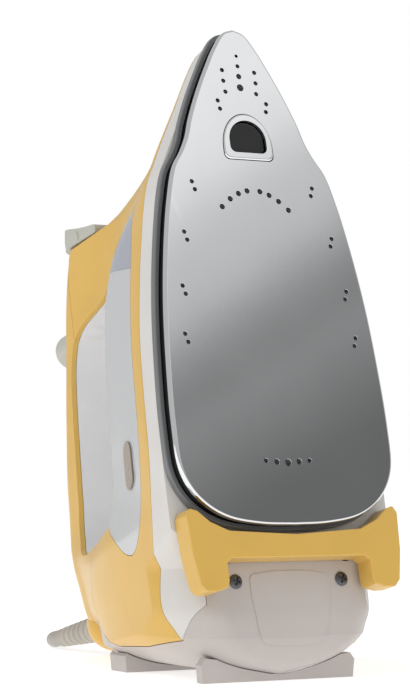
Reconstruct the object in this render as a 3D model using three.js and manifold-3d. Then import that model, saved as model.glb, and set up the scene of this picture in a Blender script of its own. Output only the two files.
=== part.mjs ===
// A steam iron that lifts itself on two feet, standing on its heel.
// Millimetres, +Z up. X runs across the iron, the ironing face looks towards -Y, the handle is at +Y.
// Everything but the cord is drawn in the iron's own frame and then leaned back as one group:
//   x = across, y = depth behind the ironing face, z = along the sole towards the nose.

import * as THREE from 'three';
import { mergeVertices } from 'three/addons/utils/BufferGeometryUtils.js';
import Module from 'manifold-3d';

const wasm = await Module();
wasm.setup();

// ---------- driving dimensions ----------
const LEAN = THREE.MathUtils.degToRad(13.56); // how far the sole leans back when the iron stands
const DATUM_HEIGHT = 96.4; // the heel row of steam holes above the table
const MIDDLE = 103; // the heel row of steam holes in front of the iron's own middle
const NOSE = 205; // sole tip above the heel row
const HEEL = -28; // sole's rear edge below the heel row
const GAP = 0.3; // clearance between pieces that touch
const WALL = 2.5; // plastic wall
const PLATE = 2.5; // soleplate
const SKIRT_FACE = 12; // depth of the white skirt's front flange
const CASTING_TOP = 14;
const LIFT_TRAVEL = 12;

const SAND = '#dcb356';
const WHITE = '#dcdad7';
const COVER_GREY = '#c3bcb8';
const SOFT_GREY = '#b9b8ae';

// ---------- small helpers ----------
const lean = new THREE.Group();
lean.rotation.x = -LEAN;
lean.position.set(0, -MIDDLE, DATUM_HEIGHT);

const iron = new THREE.Group();
iron.add(lean);

function addPart(parent, name, geometry, color, roughness = 0.5, metalness = 0) {
  const material = new THREE.MeshStandardMaterial({ color, roughness, metalness });
  const mesh = new THREE.Mesh(geometry, material);
  mesh.name = name;
  parent.add(mesh);
  return mesh;
}

function solid(geometry) {
  const bare = geometry.clone();
  bare.deleteAttribute('normal');
  bare.deleteAttribute('uv');
  const merged = mergeVertices(bare, 1e-4);
  return new wasm.Manifold(new wasm.Mesh({
    numProp: 3,
    vertProperties: new Float32Array(merged.attributes.position.array),
    triVerts: new Uint32Array(merged.index.array),
  }));
}

function geometryOf(manifold) {
  const mesh = manifold.getMesh();
  const geometry = new THREE.BufferGeometry();
  geometry.setAttribute('position', new THREE.BufferAttribute(new Float32Array(mesh.vertProperties), 3));
  geometry.setIndex(new THREE.BufferAttribute(new Uint32Array(mesh.triVerts), 1));
  geometry.computeVertexNormals();
  return geometry;
}

// Keeps only the largest body of a boolean's result, so that slivers never become pieces.
function largestPiece(manifold) {
  const pieces = manifold.decompose();
  return pieces.reduce((best, piece) => (piece.volume() > best.volume() ? piece : best));
}

function box(size, centre) {
  return new THREE.BoxGeometry(...size).translate(...centre);
}

// A cylinder between two depths, its axis along the iron's depth.
function depthCylinder(radius, u, v, from, to, sides = 24) {
  return new THREE.CylinderGeometry(radius, radius, to - from, sides).translate(u, (from + to) / 2, v);
}

function acrossCylinder(radius, length, y, z, sides = 24) {
  return new THREE.CylinderGeometry(radius, radius, length, sides).rotateZ(Math.PI / 2).translate(0, y, z);
}

// A lathe whose axis is the iron's depth; profile points are [radius, depth].
function depthLathe(profile, u, v, sides = 24) {
  const points = profile.map(([radius, depth]) => new THREE.Vector2(radius, depth));
  return new THREE.LatheGeometry(points, sides).translate(u, 0, v);
}

function shapeOf(points) {
  return new THREE.Shape(points.map(([a, b]) => new THREE.Vector2(a, b)));
}

// An outline in side view, [depth, along], pulled across the iron from one x to another.
function acrossExtrude(points, from, to) {
  const geometry = new THREE.ExtrudeGeometry(shapeOf(points), { depth: to - from, bevelEnabled: false });
  const basis = new THREE.Matrix4().makeBasis(
    new THREE.Vector3(0, 1, 0), new THREE.Vector3(0, 0, 1), new THREE.Vector3(1, 0, 0));
  return geometry.applyMatrix4(basis).translate(from, 0, 0);
}

// An outline seen from the front, [across, along], pulled from one depth to a greater one.
function depthExtrude(shape, from, to) {
  const outline = Array.isArray(shape) ? shapeOf(shape) : shape;
  const geometry = new THREE.ExtrudeGeometry(outline, { depth: to - from, bevelEnabled: false });
  const basis = new THREE.Matrix4().makeBasis(
    new THREE.Vector3(1, 0, 0), new THREE.Vector3(0, 0, 1), new THREE.Vector3(0, -1, 0));
  return geometry.applyMatrix4(basis).translate(0, to, 0);
}

// A smooth curve through hand-placed points.
function smoothLine(points, steps, closed = false) {
  const curve = new THREE.CatmullRomCurve3(
    points.map(([a, b]) => new THREE.Vector3(a, b, 0)), closed, 'centripetal');
  const samples = curve.getPoints(steps).map((point) => [point.x, point.y]);
  return closed ? samples.slice(0, -1) : samples;
}

// A value that varies smoothly between the rows of a table, without overshoot.
function smoothValue(keys, values, at) {
  const last = keys.length - 1;
  if (at <= keys[0]) return values[0];
  if (at >= keys[last]) return values[last];
  const k = keys.findIndex((key) => key > at) - 1;
  const slope = (i) => (values[i + 1] - values[i]) / (keys[i + 1] - keys[i]);
  const tangent = (i) => {
    if (i === 0) return slope(0);
    if (i === last) return slope(last - 1);
    const before = slope(i - 1);
    const after = slope(i);
    return before * after <= 0 ? 0 : (2 * before * after) / (before + after);
  };
  const span = keys[k + 1] - keys[k];
  const t = (at - keys[k]) / span;
  const rise = values[k + 1] - values[k];
  const a = tangent(k) * span - rise;
  const b = rise - tangent(k + 1) * span;
  return values[k] + t * rise + t * (1 - t) * ((1 - t) * a + t * b);
}

// A closed solid through a rising stack of outlines, each counterclockwise from above
// and all with the same number of points. A section is { z, outline: [[x, y], ...] }.
function loft(sections) {
  const count = sections[0].outline.length;
  const positions = sections.flatMap(({ z, outline }) => outline.flatMap(([x, y]) => [x, y, z]));
  const indices = [];
  for (let s = 0; s < sections.length - 1; s += 1) {
    for (let i = 0; i < count; i += 1) {
      const a = s * count + i;
      const b = s * count + ((i + 1) % count);
      indices.push(a, b, b + count, a, b + count, a + count);
    }
  }
  const faces = (section) => THREE.ShapeUtils.triangulateShape(
    section.outline.map(([x, y]) => new THREE.Vector2(x, y)), []);
  const top = (sections.length - 1) * count;
  for (const [a, b, c] of faces(sections[0])) indices.push(c, b, a);
  for (const [a, b, c] of faces(sections[sections.length - 1])) indices.push(top + a, top + b, top + c);
  const geometry = new THREE.BufferGeometry();
  geometry.setAttribute('position', new THREE.Float32BufferAttribute(positions, 3));
  geometry.setIndex(indices);
  return geometry;
}

// ---------- the iron's skin ----------
// Each row is one slice across the iron: its place along the sole, the skirt's half width, then
// [half width, depth] of the shoulder, the neck below the handle and the brow of the handle's
// rounded top, and last the depth of the crown.
const SLICES = [
  [-95, 55.0, [49.0, 80], [40.0, 108], [22.0, 140], 158],
  [-50, 56.0, [50.0, 83], [42.0, 113], [25.0, 146], 166],
  [-36, 56.3, [50.0, 85], [42.0, 118], [26.0, 153], 174],
  [-22, 56.5, [50.0, 85], [41.0, 118], [26.0, 157], 179],
  [-10, 56.6, [48.0, 82], [37.0, 118], [24.0, 165], 183.5],
  [0, 56.6, [46.5, 80], [30.0, 118], [22.0, 170], 186],
  [20, 56.4, [45.5, 78], [26.0, 118], [20.6, 170.5], 185.5],
  [60, 54.6, [45.2, 75.5], [24.0, 115], [20.0, 165], 179.5],
  [90, 51.2, [44.0, 71], [22.0, 112], [19.6, 159], 173],
  [110, 47.8, [41.5, 65], [19.6, 108], [19.5, 155], 168],
  [124, 45.0, [38.0, 57], [19.2, 100], [19.4, 151], 164.5],
  [136, 41.5, [33.5, 48], [19.0, 94], [19.0, 147], 160.5],
  [143.5, 37.7, [31.0, 45], [18.8, 88], [18.6, 144], 157.5],
  [144.5, 37.2, [30.4, 44.5], [18.6, 82], [17.5, 105], 120],
  [150, 34.5, [28.0, 42], [18.2, 66], [14.5, 90], 103.5],
  [160, 29.2, [23.8, 38], [16.8, 54], [11.5, 71], 83],
  [176, 20.4, [17.2, 33.5], [13.0, 43], [8.6, 53.5], 62.5],
  [190, 13.0, [11.0, 30.5], [8.4, 36], [5.6, 42], 47],
  [200, 6.8, [5.8, 28], [4.4, 31], [3.0, 33.5], 35.5],
  [NOSE, 1.6, [1.3, 26.8], [1.0, 27.4], [0.8, 27.9], 28.4],
];
const SLICE_PLACES = SLICES.map((row) => row[0]);
const SHOULDER_STEP = 27; // depth up to which the skirt's wall runs straight

function sliceAt(along, inset) {
  const at = (pick) => smoothValue(SLICE_PLACES, SLICES.map(pick), along);
  const shrink = (value) => Math.max(value - inset, 0.3);
  return {
    skirt: shrink(at((row) => row[1])),
    shoulder: [shrink(at((row) => row[2][0])), at((row) => row[2][1])],
    neck: [shrink(at((row) => row[3][0])), at((row) => row[3][1])],
    brow: [shrink(at((row) => row[4][0])), at((row) => row[4][1]) - inset / 2],
    crown: at((row) => row[5]) - inset,
  };
}

// One slice as a closed outline [across, depth], counterclockwise seen from the nose.
function sliceOutline(along, inset, foot) {
  const { skirt, shoulder, neck, brow, crown } = sliceAt(along, inset);
  const flank = smoothLine([[skirt, SHOULDER_STEP - 1], shoulder, neck, brow], 9);
  const dome = [18, 36, 54, 72].map((degrees) => {
    const angle = THREE.MathUtils.degToRad(degrees);
    return [brow[0] * Math.cos(angle), brow[1] + (crown - brow[1]) * Math.sin(angle)];
  });
  const right = [[skirt, foot], ...flank, ...dome];
  const left = right.map(([x, y]) => [-x, y]).reverse();
  return [...right, [0, crown], ...left];
}

const SKIN_CUTS = [-95, -58, -44, -30, -16, -8, 0, 15, 35, 60, 85, 100, 112, 124, 134, 143.5, 144.5,
  150, 158, 168, 178, 188, 196, 201, NOSE];

function skin(inset, foot, highest = NOSE) {
  const cuts = SKIN_CUTS.filter((along) => along <= highest);
  return solid(loft(cuts.map((z) => ({ z, outline: sliceOutline(z, inset, foot) }))));
}

// The rounded belly: level slices that narrow towards the table.
const BELLY = { height: 2.6, roll: 29, sideReach: 50, endReach: 22, halfWidth: 57, rear: 105 };
const CORNER = { round: [25, 48], square: [9, 9], from: 50, to: 64 }; // front corners, blended between two heights
const LEDGE = 20; // underside of the handle's rear end above the table

function levelRectangle(z, rear, sideInset, endInset = sideInset) {
  const front = (SKIRT_FACE - (DATUM_HEIGHT - z) * Math.sin(LEAN)) / Math.cos(LEAN) + endInset;
  const side = BELLY.halfWidth - sideInset;
  const blend = THREE.MathUtils.clamp((z - CORNER.from) / (CORNER.to - CORNER.from), 0, 1);
  const [across, deep] = CORNER.round.map((size, i) => size + (CORNER.square[i] - size) * blend);
  const wide = Math.min(across, side);
  const corner = (x, y, rx, ry, start) => [0, 22.5, 45, 67.5, 90].map((degrees) => {
    const angle = THREE.MathUtils.degToRad(start + degrees);
    return [x + rx * Math.cos(angle), y + ry * Math.sin(angle)];
  });
  const small = Math.min(CORNER.square[0], side);
  return [
    ...corner(side - small, rear - endInset - small, small, small, 0),
    ...corner(-side + small, rear - endInset - small, small, small, 90),
    ...corner(-side + wide, front + deep, wide, deep, 180),
    ...corner(side - wide, front + deep, wide, deep, 270),
  ];
}

function belly(shell) {
  const sections = [];
  const rollAt = (degrees) => {
    const angle = THREE.MathUtils.degToRad(degrees);
    const [side, end] = [BELLY.sideReach, BELLY.endReach].map((reach) => shell + reach * (1 - Math.sin(angle)));
    return { z: BELLY.height + shell + BELLY.roll * (1 - Math.cos(angle)), side, end };
  };
  for (const degrees of [2, 14, 26, 38, 50, 60]) {
    const { z, side, end } = rollAt(degrees);
    if (z < LEDGE + shell - 1) sections.push({ z, outline: levelRectangle(z, BELLY.rear, side, end) });
  }
  const ledge = LEDGE + shell;
  const { side, end } = rollAt(66.5);
  sections.push({ z: ledge, outline: levelRectangle(ledge, BELLY.rear, side, end) });
  sections.push({ z: ledge + 0.1, outline: levelRectangle(ledge, 240, side, end) });
  sections.push({ z: 34, outline: levelRectangle(34, 250, shell, shell) });
  sections.push({ z: CORNER.from, outline: levelRectangle(CORNER.from, 256, shell, shell) });
  sections.push({ z: CORNER.to, outline: levelRectangle(CORNER.to, 260, shell - 3) });
  sections.push({ z: 330, outline: levelRectangle(330, 300, shell - 90) });
  const geometry = loft(sections);
  geometry.translate(0, 0, -DATUM_HEIGHT);
  geometry.rotateX(LEAN);
  return solid(geometry);
}

// ---------- seams and openings, all in side view [depth, along] ----------
const SKIRT_SEAM = [[26, 215], [23, 126], [23.5, 60], [23.5, 11], [27, -15], [31, -35], [34, -55], [31, -72.5]];
const COVER_SEAM = [[-10, -58], [13, -58], [31, -72.5], [60, -70], [91, -64.5], [106, -57], [117, -49], [125, -47]];
const OPENING = [[96, 124], [102, 125], [116, 112], [129, 107.5], [143, 103], [151, 97], [156, 86],
  [158.5, 70], [160, 45], [161, 20], [160, 2], [154, -8], [140, -12], [118, -12.5], [84, -10.5], [60, -10.5],
  [60, 124]];
const WINDOW = [[48, 136.5], [57, 124], [65, 109], [71, 90], [75.2, 60], [77.8, 20], [80, 0], [84, -10],
  [74, -18], [60, -28], [52, -29], [43.5, -21], [36.5, 4], [34, 26], [34.3, 51], [34.5, 81], [35, 106],
  [39, 124]];
const TOP_SHELL = [[117, -130], [117, 92], [150.5, 99], [150.5, 131], [152, 143.2], [250, 143.2], [250, -130]];

function offsetOutline(points, distance) {
  return points.map(([a, b], i) => {
    const [pa, pb] = points[(i + points.length - 1) % points.length];
    const [na, nb] = points[(i + 1) % points.length];
    const length = Math.hypot(na - pa, nb - pb);
    return [a + (distance * -(nb - pb)) / length, b + (distance * (na - pa)) / length];
  });
}

const across = (points, halfWidth = 90) => solid(acrossExtrude(points, -halfWidth, halfWidth));

// The saddle below the handle is arched: deepest in the middle, falling to the shoulders.
function aboveSaddle(drop) {
  const rows = [[-30, 110, 0.0118], [-10, 109, 0.0117], [20, 107, 0.014], [60, 104.5, 0.0142],
    [90, 101.5, 0.0157], [110, 100, 0.0203], [135, 99, 0.024]];
  const sections = rows.map(([z, height, bow]) => {
    const arch = [];
    for (let x = -72; x <= 72; x += 12) arch.push([x, Math.max(height - drop - bow * x * x, 5)]);
    return { z, outline: [...arch, [72, 240], [-72, 240]] };
  });
  return solid(loft(sections));
}

// ---------- the sole's outline, [across, along] ----------
const SOLE_HALF = [[0, 205], [5.5, 203], [11.5, 195], [16, 187], [22.6, 174], [28.6, 160], [31.6, 151],
  [35.2, 144], [40, 136.5], [44.6, 121], [48.8, 100], [52.6, 73], [54.8, 45], [55.8, 18], [54.8, -2],
  [50.4, -12], [43, -19.5], [33, -24.6], [17, -27.4], [0, HEEL]];

function soleOutline(inset, steps = 40) {
  const right = smoothLine(SOLE_HALF, steps);
  const full = [...right, ...right.slice(1, -1).map(([x, z]) => [-x, z]).reverse()];
  return offsetOutline(full, -inset).map(([x, z], i) => (i === 0 || i === right.length - 1 ? [0, z] : [x, z]));
}

// ---------- shells cut from the skin ----------
const leftOf = (line, shift) => across([[-30, line[0][1]], ...line.map(([a, b]) => [a + shift, b]),
  [-30, line[line.length - 1][1]]]);
const slab = (from, to) => solid(box([200, to - from, 420], [0, (from + to) / 2, 60]));

const ledge = solid(box([60, 90, 12], [0, 157, 147]));
const outer = skin(0, SKIRT_FACE).intersect(belly(0));
const cavity = skin(WALL, -5, 196).intersect(belly(WALL)).subtract(ledge);
const closedCavity = skin(WALL, SKIRT_FACE + WALL, 196).intersect(belly(WALL));
const shell = outer.subtract(cavity);
const outerGrown = skin(-GAP, SKIRT_FACE - GAP).intersect(belly(-GAP));

const COVER_TOP = -38; // the heel cover's upper edge, hidden behind the yoke's bar
const COVER_HALF = 41;
function coverRegion(grow) {
  const seam = COVER_SEAM.map(([a, b]) => [a, b + grow]);
  const below = across([...seam, [125 + grow, -130], [-10, -130]]);
  const height = COVER_TOP + 60 + grow;
  const panel = solid(box([2 * (COVER_HALF + grow), 8, height], [0, 14, -60 + height / 2]));
  return below.add(panel);
}

const soleHole = (inset) => solid(depthExtrude(soleOutline(inset), -5, 40));
const windowBlock = (grow) => across(offsetOutline(WINDOW, grow));
const lensRegion = (grow) => across([[150 - grow, 142.8 + grow], [250, 142.8 + grow], [250, 131 - grow],
  [152 - grow, 131 - grow]]);
const topRegion = (grow) => across(TOP_SHELL.map(([a, b]) => [a - grow, b]));
const openingCut = across(OPENING).intersect(aboveSaddle(WALL + GAP));

function makeLowerSkirt() {
  const wall = shell.intersect(leftOf(SKIRT_SEAM, -GAP / 2));
  const flange = outer.intersect(slab(SKIRT_FACE, SKIRT_FACE + WALL)).subtract(soleHole(3.5));
  return largestPiece(wall.add(flange).subtract(coverRegion(GAP)));
}

function makeHeelCover() {
  const tray = outer.intersect(coverRegion(0)).subtract(closedCavity);
  return largestPiece(tray);
}

function makeBodyShell(fillHole) {
  return largestPiece(shell
    .subtract(leftOf(SKIRT_SEAM, GAP / 2))
    .subtract(coverRegion(GAP))
    .subtract(topRegion(0))
    .subtract(lensRegion(GAP))
    .subtract(openingCut)
    .subtract(windowBlock(GAP))
    .subtract(fillHole));
}

function makeHandleShell(cuts) {
  const raw = shell.intersect(topRegion(-GAP)).subtract(openingCut).subtract(coverRegion(GAP))
    .subtract(lensRegion(GAP)).intersect(across([[100, -130], [100, 143.2], [260, 143.2],
      [260, -130]]));
  return largestPiece(cuts.reduce((result, cut) => result.subtract(cut), raw));
}

function makeLiner() {
  const ring = across(offsetOutline(OPENING, 3)).subtract(across(offsetOutline(OPENING, 0)));
  return largestPiece(ring.intersect(skin(WALL + GAP, 20, 196)).intersect(aboveSaddle(-GAP)));
}

function makeSaddleCover() {
  const sheet = aboveSaddle(WALL).subtract(aboveSaddle(0)).intersect(outer);
  return largestPiece(sheet.intersect(across(offsetOutline(OPENING, -GAP))).subtract(windowBlock(GAP)));
}

function makeTank(fillBore) {
  const chamber = skin(WALL, 15, 196).intersect(across(offsetOutline(WINDOW, -WALL)));
  return largestPiece(outer.intersect(windowBlock(0)).subtract(chamber).subtract(fillBore));
}

function makeLens() {
  return largestPiece(shell.intersect(lensRegion(0)));
}

// ---------- sole and heating ----------
const ELEMENT = { radius: 3, depth: 10.4 }; // the heater's tube, bedded in the casting
const FRONT_FOOT = { along: 151.8, halfWidth: 12.9, bottom: -10.4, top: 11.6, ring: 3.2 };

function dShape(inset) {
  const half = FRONT_FOOT.halfWidth - inset;
  const low = FRONT_FOOT.along + FRONT_FOOT.bottom + inset;
  const high = FRONT_FOOT.along + FRONT_FOOT.top - inset;
  const middle = low + 6;
  const points = [[-half + 3, low], [half - 3, low], [half - 0.8, low + 1], [half, low + 3.5]];
  for (let degrees = 0; degrees <= 180; degrees += 15) {
    const angle = THREE.MathUtils.degToRad(degrees);
    points.push([half * Math.cos(angle), middle + (high - middle) * Math.sin(angle)]);
  }
  points.push([-half, low + 3.5], [-half + 0.8, low + 1]);
  return points;
}

function steamHoles() {
  const small = 1.05;
  const holes = [[0, 192, 0.8], [0, 187, 1.0], [0, 182, 1.3], [0, 176.5, 1.7], [0, 0, 1.6]];
  const mirrored = [
    [8.6, 184.5, small], [8.6, 179.3, small], [8.2, 174, small], [12.9, 169.4, small], [12.2, 165.5, small],
    [5.8, 0.4, 1.3], [11.3, 0.9, small]];
  for (const x of [3.4, 8.1, 12.8, 17.5]) mirrored.push([x, 126.8 - 0.0278 * x ** 2, 1.3]);
  for (const [x, z] of [[31.8, 129.5], [38.9, 105.5], [43, 80.3], [44.6, 58.2]]) {
    mirrored.push([x, z, small], [x - 1.1, z - 3.7, small]);
  }
  for (const [x, z, radius] of mirrored) holes.push([x, z, radius], [-x, z, radius]);
  return holes;
}

function makeSoleplate() {
  const plate = solid(depthExtrude(soleOutline(0), 0, PLATE));
  const drills = steamHoles().map(([x, z, radius]) => solid(depthCylinder(radius, x, z, -1, PLATE + 1, 8)));
  const recess = solid(depthExtrude(dShape(-GAP), -1, PLATE + 1));
  return plate.subtract(wasm.Manifold.union(drills)).subtract(recess);
}

function makeCasting() {
  const tip = solid(box([60, 60, 40], [0, 10, 212]));
  const block = solid(depthExtrude(soleOutline(5, 28), PLATE + GAP, CASTING_TOP)).subtract(tip);
  const chamber = solid(depthExtrude([[-24, 20], [-24, 100], [-12, 122], [12, 122], [24, 100], [24, 20]],
    8, CASTING_TOP + 1));
  const recess = solid(depthExtrude(dShape(-GAP), 0, CASTING_TOP + 1));
  const groove = [0, 2.5, 5].map((rise) => solid(elementTube(ELEMENT.radius + 0.5, ELEMENT.depth + rise)));
  return largestPiece(block.subtract(chamber).subtract(recess).subtract(wasm.Manifold.union(groove)));
}

function elementTube(radius, depth) {
  const path = new THREE.CatmullRomCurve3([[-36, -10], [-37, 40], [-33, 88], [-20, 124], [0, 131.5],
    [20, 124], [33, 88], [37, 40], [36, -10]].map(([x, z]) => new THREE.Vector3(x, depth, z)));
  const circle = new THREE.Shape().absarc(0, 0, radius, 0, 2 * Math.PI);
  return new THREE.ExtrudeGeometry(circle, { steps: 24, curveSegments: 4, extrudePath: path });
}

function makeHeatShield() {
  const wall = solid(depthExtrude(soleOutline(1.6), PLATE + GAP, SKIRT_FACE - GAP));
  return wall.subtract(solid(depthExtrude(soleOutline(4.4), 0, 30)));
}

function makeShieldTrim() {
  const ring = solid(depthExtrude(soleOutline(-1.2), 8, SKIRT_FACE - GAP));
  return ring.subtract(solid(depthExtrude(soleOutline(1.2), 0, 30)));
}

// ---------- lift mechanism ----------
const YOKE = {
  half: 54.5, inner: 36.8, top: -20, bottom: -56.5, barTop: -32, barBottom: -42.2, front: 0.5, back: 11.6,
};
const POST = { across: 31, along: -38, radius: 4 };
const CARRIAGE = { from: 28, to: 33, low: -46, high: -31 };
const ROD = { from: 29.3, to: 32.3, half: 4 };
const PINION = { teeth: 12, radius: 8, along: -50, depth: 46, width: 6 };
const TOOTH_PITCH = (2 * Math.PI * PINION.radius) / PINION.teeth;

function makeYoke() {
  const half = [[0, YOKE.barTop], [34, YOKE.barTop + 2], [43, -26], [49, YOKE.top - 1], [52.5, YOKE.top],
    [YOKE.half, -23], [53.6, -40], [51.2, -53.5], [48.5, YOKE.bottom], [43, YOKE.bottom], [YOKE.inner + 1, -55],
    [YOKE.inner, -52], [YOKE.inner, YOKE.barBottom - 2], [YOKE.inner - 2.5, YOKE.barBottom], [0, YOKE.barBottom]];
  const outline = [...half, ...half.slice(1, -1).map(([x, z]) => [-x, z]).reverse()];
  const block = solid(depthExtrude(outline, YOKE.front, YOKE.back));
  const posts = [-1, 1].map((side) => solid(depthCylinder(POST.radius, side * POST.across, POST.along,
    YOKE.back - 1, CARRIAGE.from - GAP, 16)));
  return block.subtract(soleHole(-3)).add(posts[0]).add(posts[1]);
}

const postHoles = [-1, 1].map((side) => solid(depthCylinder(POST.radius + 0.5, side * POST.across, POST.along,
  0, 40, 16)));

function makeCarriage() {
  const height = CARRIAGE.high - CARRIAGE.low;
  return box([66, CARRIAGE.to - CARRIAGE.from, height],
    [0, (CARRIAGE.from + CARRIAGE.to) / 2, (CARRIAGE.low + CARRIAGE.high) / 2]);
}

// A toothed bar that stands on the carriage and runs along the iron's depth.
function makeRack() {
  const bar = [[CARRIAGE.to + GAP, PINION.along + PINION.radius + 2.2], [CARRIAGE.to + GAP, -38]];
  const outline = [];
  const root = PINION.along + PINION.radius + 1.9;
  for (let k = -2; k <= 3; k += 1) {
    const centre = PINION.depth + (k + 0.5) * TOOTH_PITCH - TOOTH_PITCH / 2;
    if (centre < CARRIAGE.to + 3) continue;
    outline.push([centre - 1.25, root], [centre - 0.5, root - 3.2], [centre + 0.5, root - 3.2], [centre + 1.25, root]);
  }
  const end = outline[outline.length - 1][0] + 2;
  return acrossExtrude([bar[0], bar[1], [end, -38], [end, root], ...outline.reverse(),
    [CARRIAGE.to + GAP, root]].filter((point, i) => i !== 0), -3, 3);
}

function makePinion() {
  const points = [];
  for (let k = 0; k < PINION.teeth; k += 1) {
    const centre = Math.PI / 2 + ((k + 0.5) * 2 * Math.PI) / PINION.teeth;
    for (const [turn, radius] of [[-0.13, 6.4], [-0.055, 9.2], [0.055, 9.2], [0.13, 6.4]]) {
      const angle = centre + turn;
      points.push([radius * Math.cos(angle), radius * Math.sin(angle)]);
    }
  }
  const wheel = solid(acrossExtrude(points, -3, 3)).add(solid(acrossCylinder(2, 17, 0, 0, 16).translate(5.5, 0, 0)));
  return wheel.translate([0, PINION.depth, PINION.along]);
}

function makeGearbox() {
  const housing = solid(box([14, 24, 18], [13, PINION.depth, PINION.along + 3]));
  return housing.subtract(solid(acrossCylinder(2.3, 30, PINION.depth, PINION.along, 16)));
}

function makeFrontRod() {
  const start = CARRIAGE.high + GAP;
  const length = FRONT_FOOT.along + 4 - start;
  return box([2 * ROD.half, ROD.to - ROD.from, length], [0, (ROD.from + ROD.to) / 2, start + length / 2]);
}

function makeFrontFoot() {
  const pad = solid(depthExtrude(dShape(FRONT_FOOT.ring + GAP), 1, 13));
  return pad.add(solid(depthCylinder(3.5, 0, FRONT_FOOT.along, 12, ROD.from - GAP, 16)));
}

function makeFootBezel() {
  const sleeve = solid(depthExtrude(dShape(0), -0.7, CASTING_TOP));
  return sleeve.subtract(solid(depthExtrude(dShape(FRONT_FOOT.ring), -2, CASTING_TOP + 2)));
}

// ---------- handle fittings ----------
const DOOR_PIN = { depth: 121.5, along: 146.9, radius: 0.9, length: 30 };
const KNUCKLE = 2.3; // radius of the door's rounded front edge around its pin
const EAR = { across: 8, width: 4, radius: 1.8 };
const DOOR_FLOOR = 144.8; // the door's underside, just clear of the handle's flat top
const CAP = [
  ...[270, 225, 180, 135, 100].map((degrees) => {
    const angle = THREE.MathUtils.degToRad(degrees);
    return [DOOR_PIN.depth + KNUCKLE * Math.cos(angle), DOOR_PIN.along + KNUCKLE * Math.sin(angle)];
  }),
  [126, 149.9], [136, 151.9], [150, 155.2], [157, 155], [161.6, 151.5], [163, 147.5], [162, 143.6], [150, 142.6],
  [127, 142.9],
];
const DIAL = { along: 103.7, radius: 9, top: 194.5 };
const BUTTON = { along: 66, width: 12, length: 20, travel: 3 };

// The door is a hollow hood whose front edge turns on a pin held by two ears of the body.
function makeFillDoor() {
  const profile = (z, inset) => ({ z, outline: sliceOutline(134, inset, SKIRT_FACE) });
  const bound = (inset) => solid(loft([profile(138, inset), profile(156, inset + 0.6), profile(163, inset + 3)]));
  const hood = across(smoothLine(CAP, 44, true)).intersect(bound(0));
  const inside = across([[127, 130], [127, 147.8], [137, 149.8], [150, 152.8], [156, 151], [157, 130]])
    .intersect(bound(2.2));
  const floor = solid(box([80, 70, 20], [0, 145, DOOR_FLOOR - 10]));
  const pinHole = solid(acrossCylinder(DOOR_PIN.radius + 0.1, DOOR_PIN.length + 2 * GAP, DOOR_PIN.depth,
    DOOR_PIN.along, 16));
  const slots = [-1, 1].map((side) => solid(box([EAR.width + 4 * GAP, 20, 14],
    [side * EAR.across, DOOR_PIN.depth + EAR.radius + GAP - 10, DOOR_PIN.along + EAR.radius + GAP - 7])));
  return hood.subtract(inside).subtract(pinHole).subtract(wasm.Manifold.union(slots))
    .subtract(floor).subtract(outerGrown);
}

function hingeEars() {
  const ears = [-1, 1].map((side) => {
    const lobe = solid(acrossCylinder(EAR.radius, EAR.width, DOOR_PIN.depth, DOOR_PIN.along, 20));
    const web = solid(box([EAR.width, 2 * EAR.radius, 5], [0, DOOR_PIN.depth, DOOR_PIN.along - 2.5]));
    return lobe.add(web).translate([side * EAR.across, 0, 0]);
  });
  const bore = solid(acrossCylinder(DOOR_PIN.radius + 0.1, 60, DOOR_PIN.depth, DOOR_PIN.along, 16));
  return wasm.Manifold.union(ears).subtract(bore);
}

function makeDial() {
  const { along, radius, top } = DIAL;
  const base = crownAt(along - radius) + GAP;
  const profile = [[0, base - 13], [2.4, base - 13], [2.4, base], [radius, base]];
  for (let degrees = 0; degrees <= 75; degrees += 15) {
    const angle = THREE.MathUtils.degToRad(degrees);
    profile.push([radius - 4 + 4 * Math.cos(angle), top - 4.5 + 4 * Math.sin(angle)]);
  }
  profile.push([0, top]);
  return depthLathe(profile, 0, along, 24);
}

const crownAt = (along) => sliceAt(along, 0).crown;
const dialBore = solid(depthCylinder(3, 0, DIAL.along, 150, 200, 20));

function buttonOutline(grow) {
  const half = BUTTON.width / 2 + grow;
  const straight = (BUTTON.length - BUTTON.width) / 2;
  const points = [];
  for (let degrees = 0; degrees <= 180; degrees += 20) {
    const angle = THREE.MathUtils.degToRad(degrees);
    points.push([half * Math.cos(angle), BUTTON.along + straight + half * Math.sin(angle)]);
  }
  return [...points, ...points.map(([x, z]) => [-x, 2 * BUTTON.along - z])];
}

const buttonBore = solid(depthExtrude(buttonOutline(GAP), 172, 200));

function makeButton() {
  const crown = crownAt(BUTTON.along);
  const cap = solid(depthExtrude(buttonOutline(0), crown - 3.4, crown + 2.2));
  const stem = solid(depthCylinder(2, 0, BUTTON.along, crown - 8.2, crown - 3, 16));
  return cap.add(stem);
}

// A compression spring around the button's stem.
function makeSpring(radius, wire, from, to, turns, u, v) {
  class Helix extends THREE.Curve {
    getPoint(t, target = new THREE.Vector3()) {
      const angle = t * turns * 2 * Math.PI;
      return target.set(u + radius * Math.cos(angle), from + t * (to - from), v + radius * Math.sin(angle));
    }
  }
  const circle = new THREE.Shape().absarc(0, 0, wire, 0, 2 * Math.PI);
  return new THREE.ExtrudeGeometry(circle, { steps: turns * 12, curveSegments: 3, extrudePath: new Helix() });
}

// ---------- heel ----------
const SWIVEL = { depth: 174, along: -40, radius: 13.6 };

function makeSwivelCover() {
  const ball = solid(new THREE.SphereGeometry(SWIVEL.radius, 28, 18).scale(1.15, 1, 1)
    .translate(0, SWIVEL.depth, SWIVEL.along));
  const socket = solid(new THREE.SphereGeometry(10, 24, 14).translate(0, SWIVEL.depth + 3, SWIVEL.along));
  const mouth = solid(new THREE.CylinderGeometry(11.5, 9, 16, 24).translate(0, SWIVEL.depth + 15, SWIVEL.along));
  return ball.subtract(socket).subtract(mouth);
}

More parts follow.
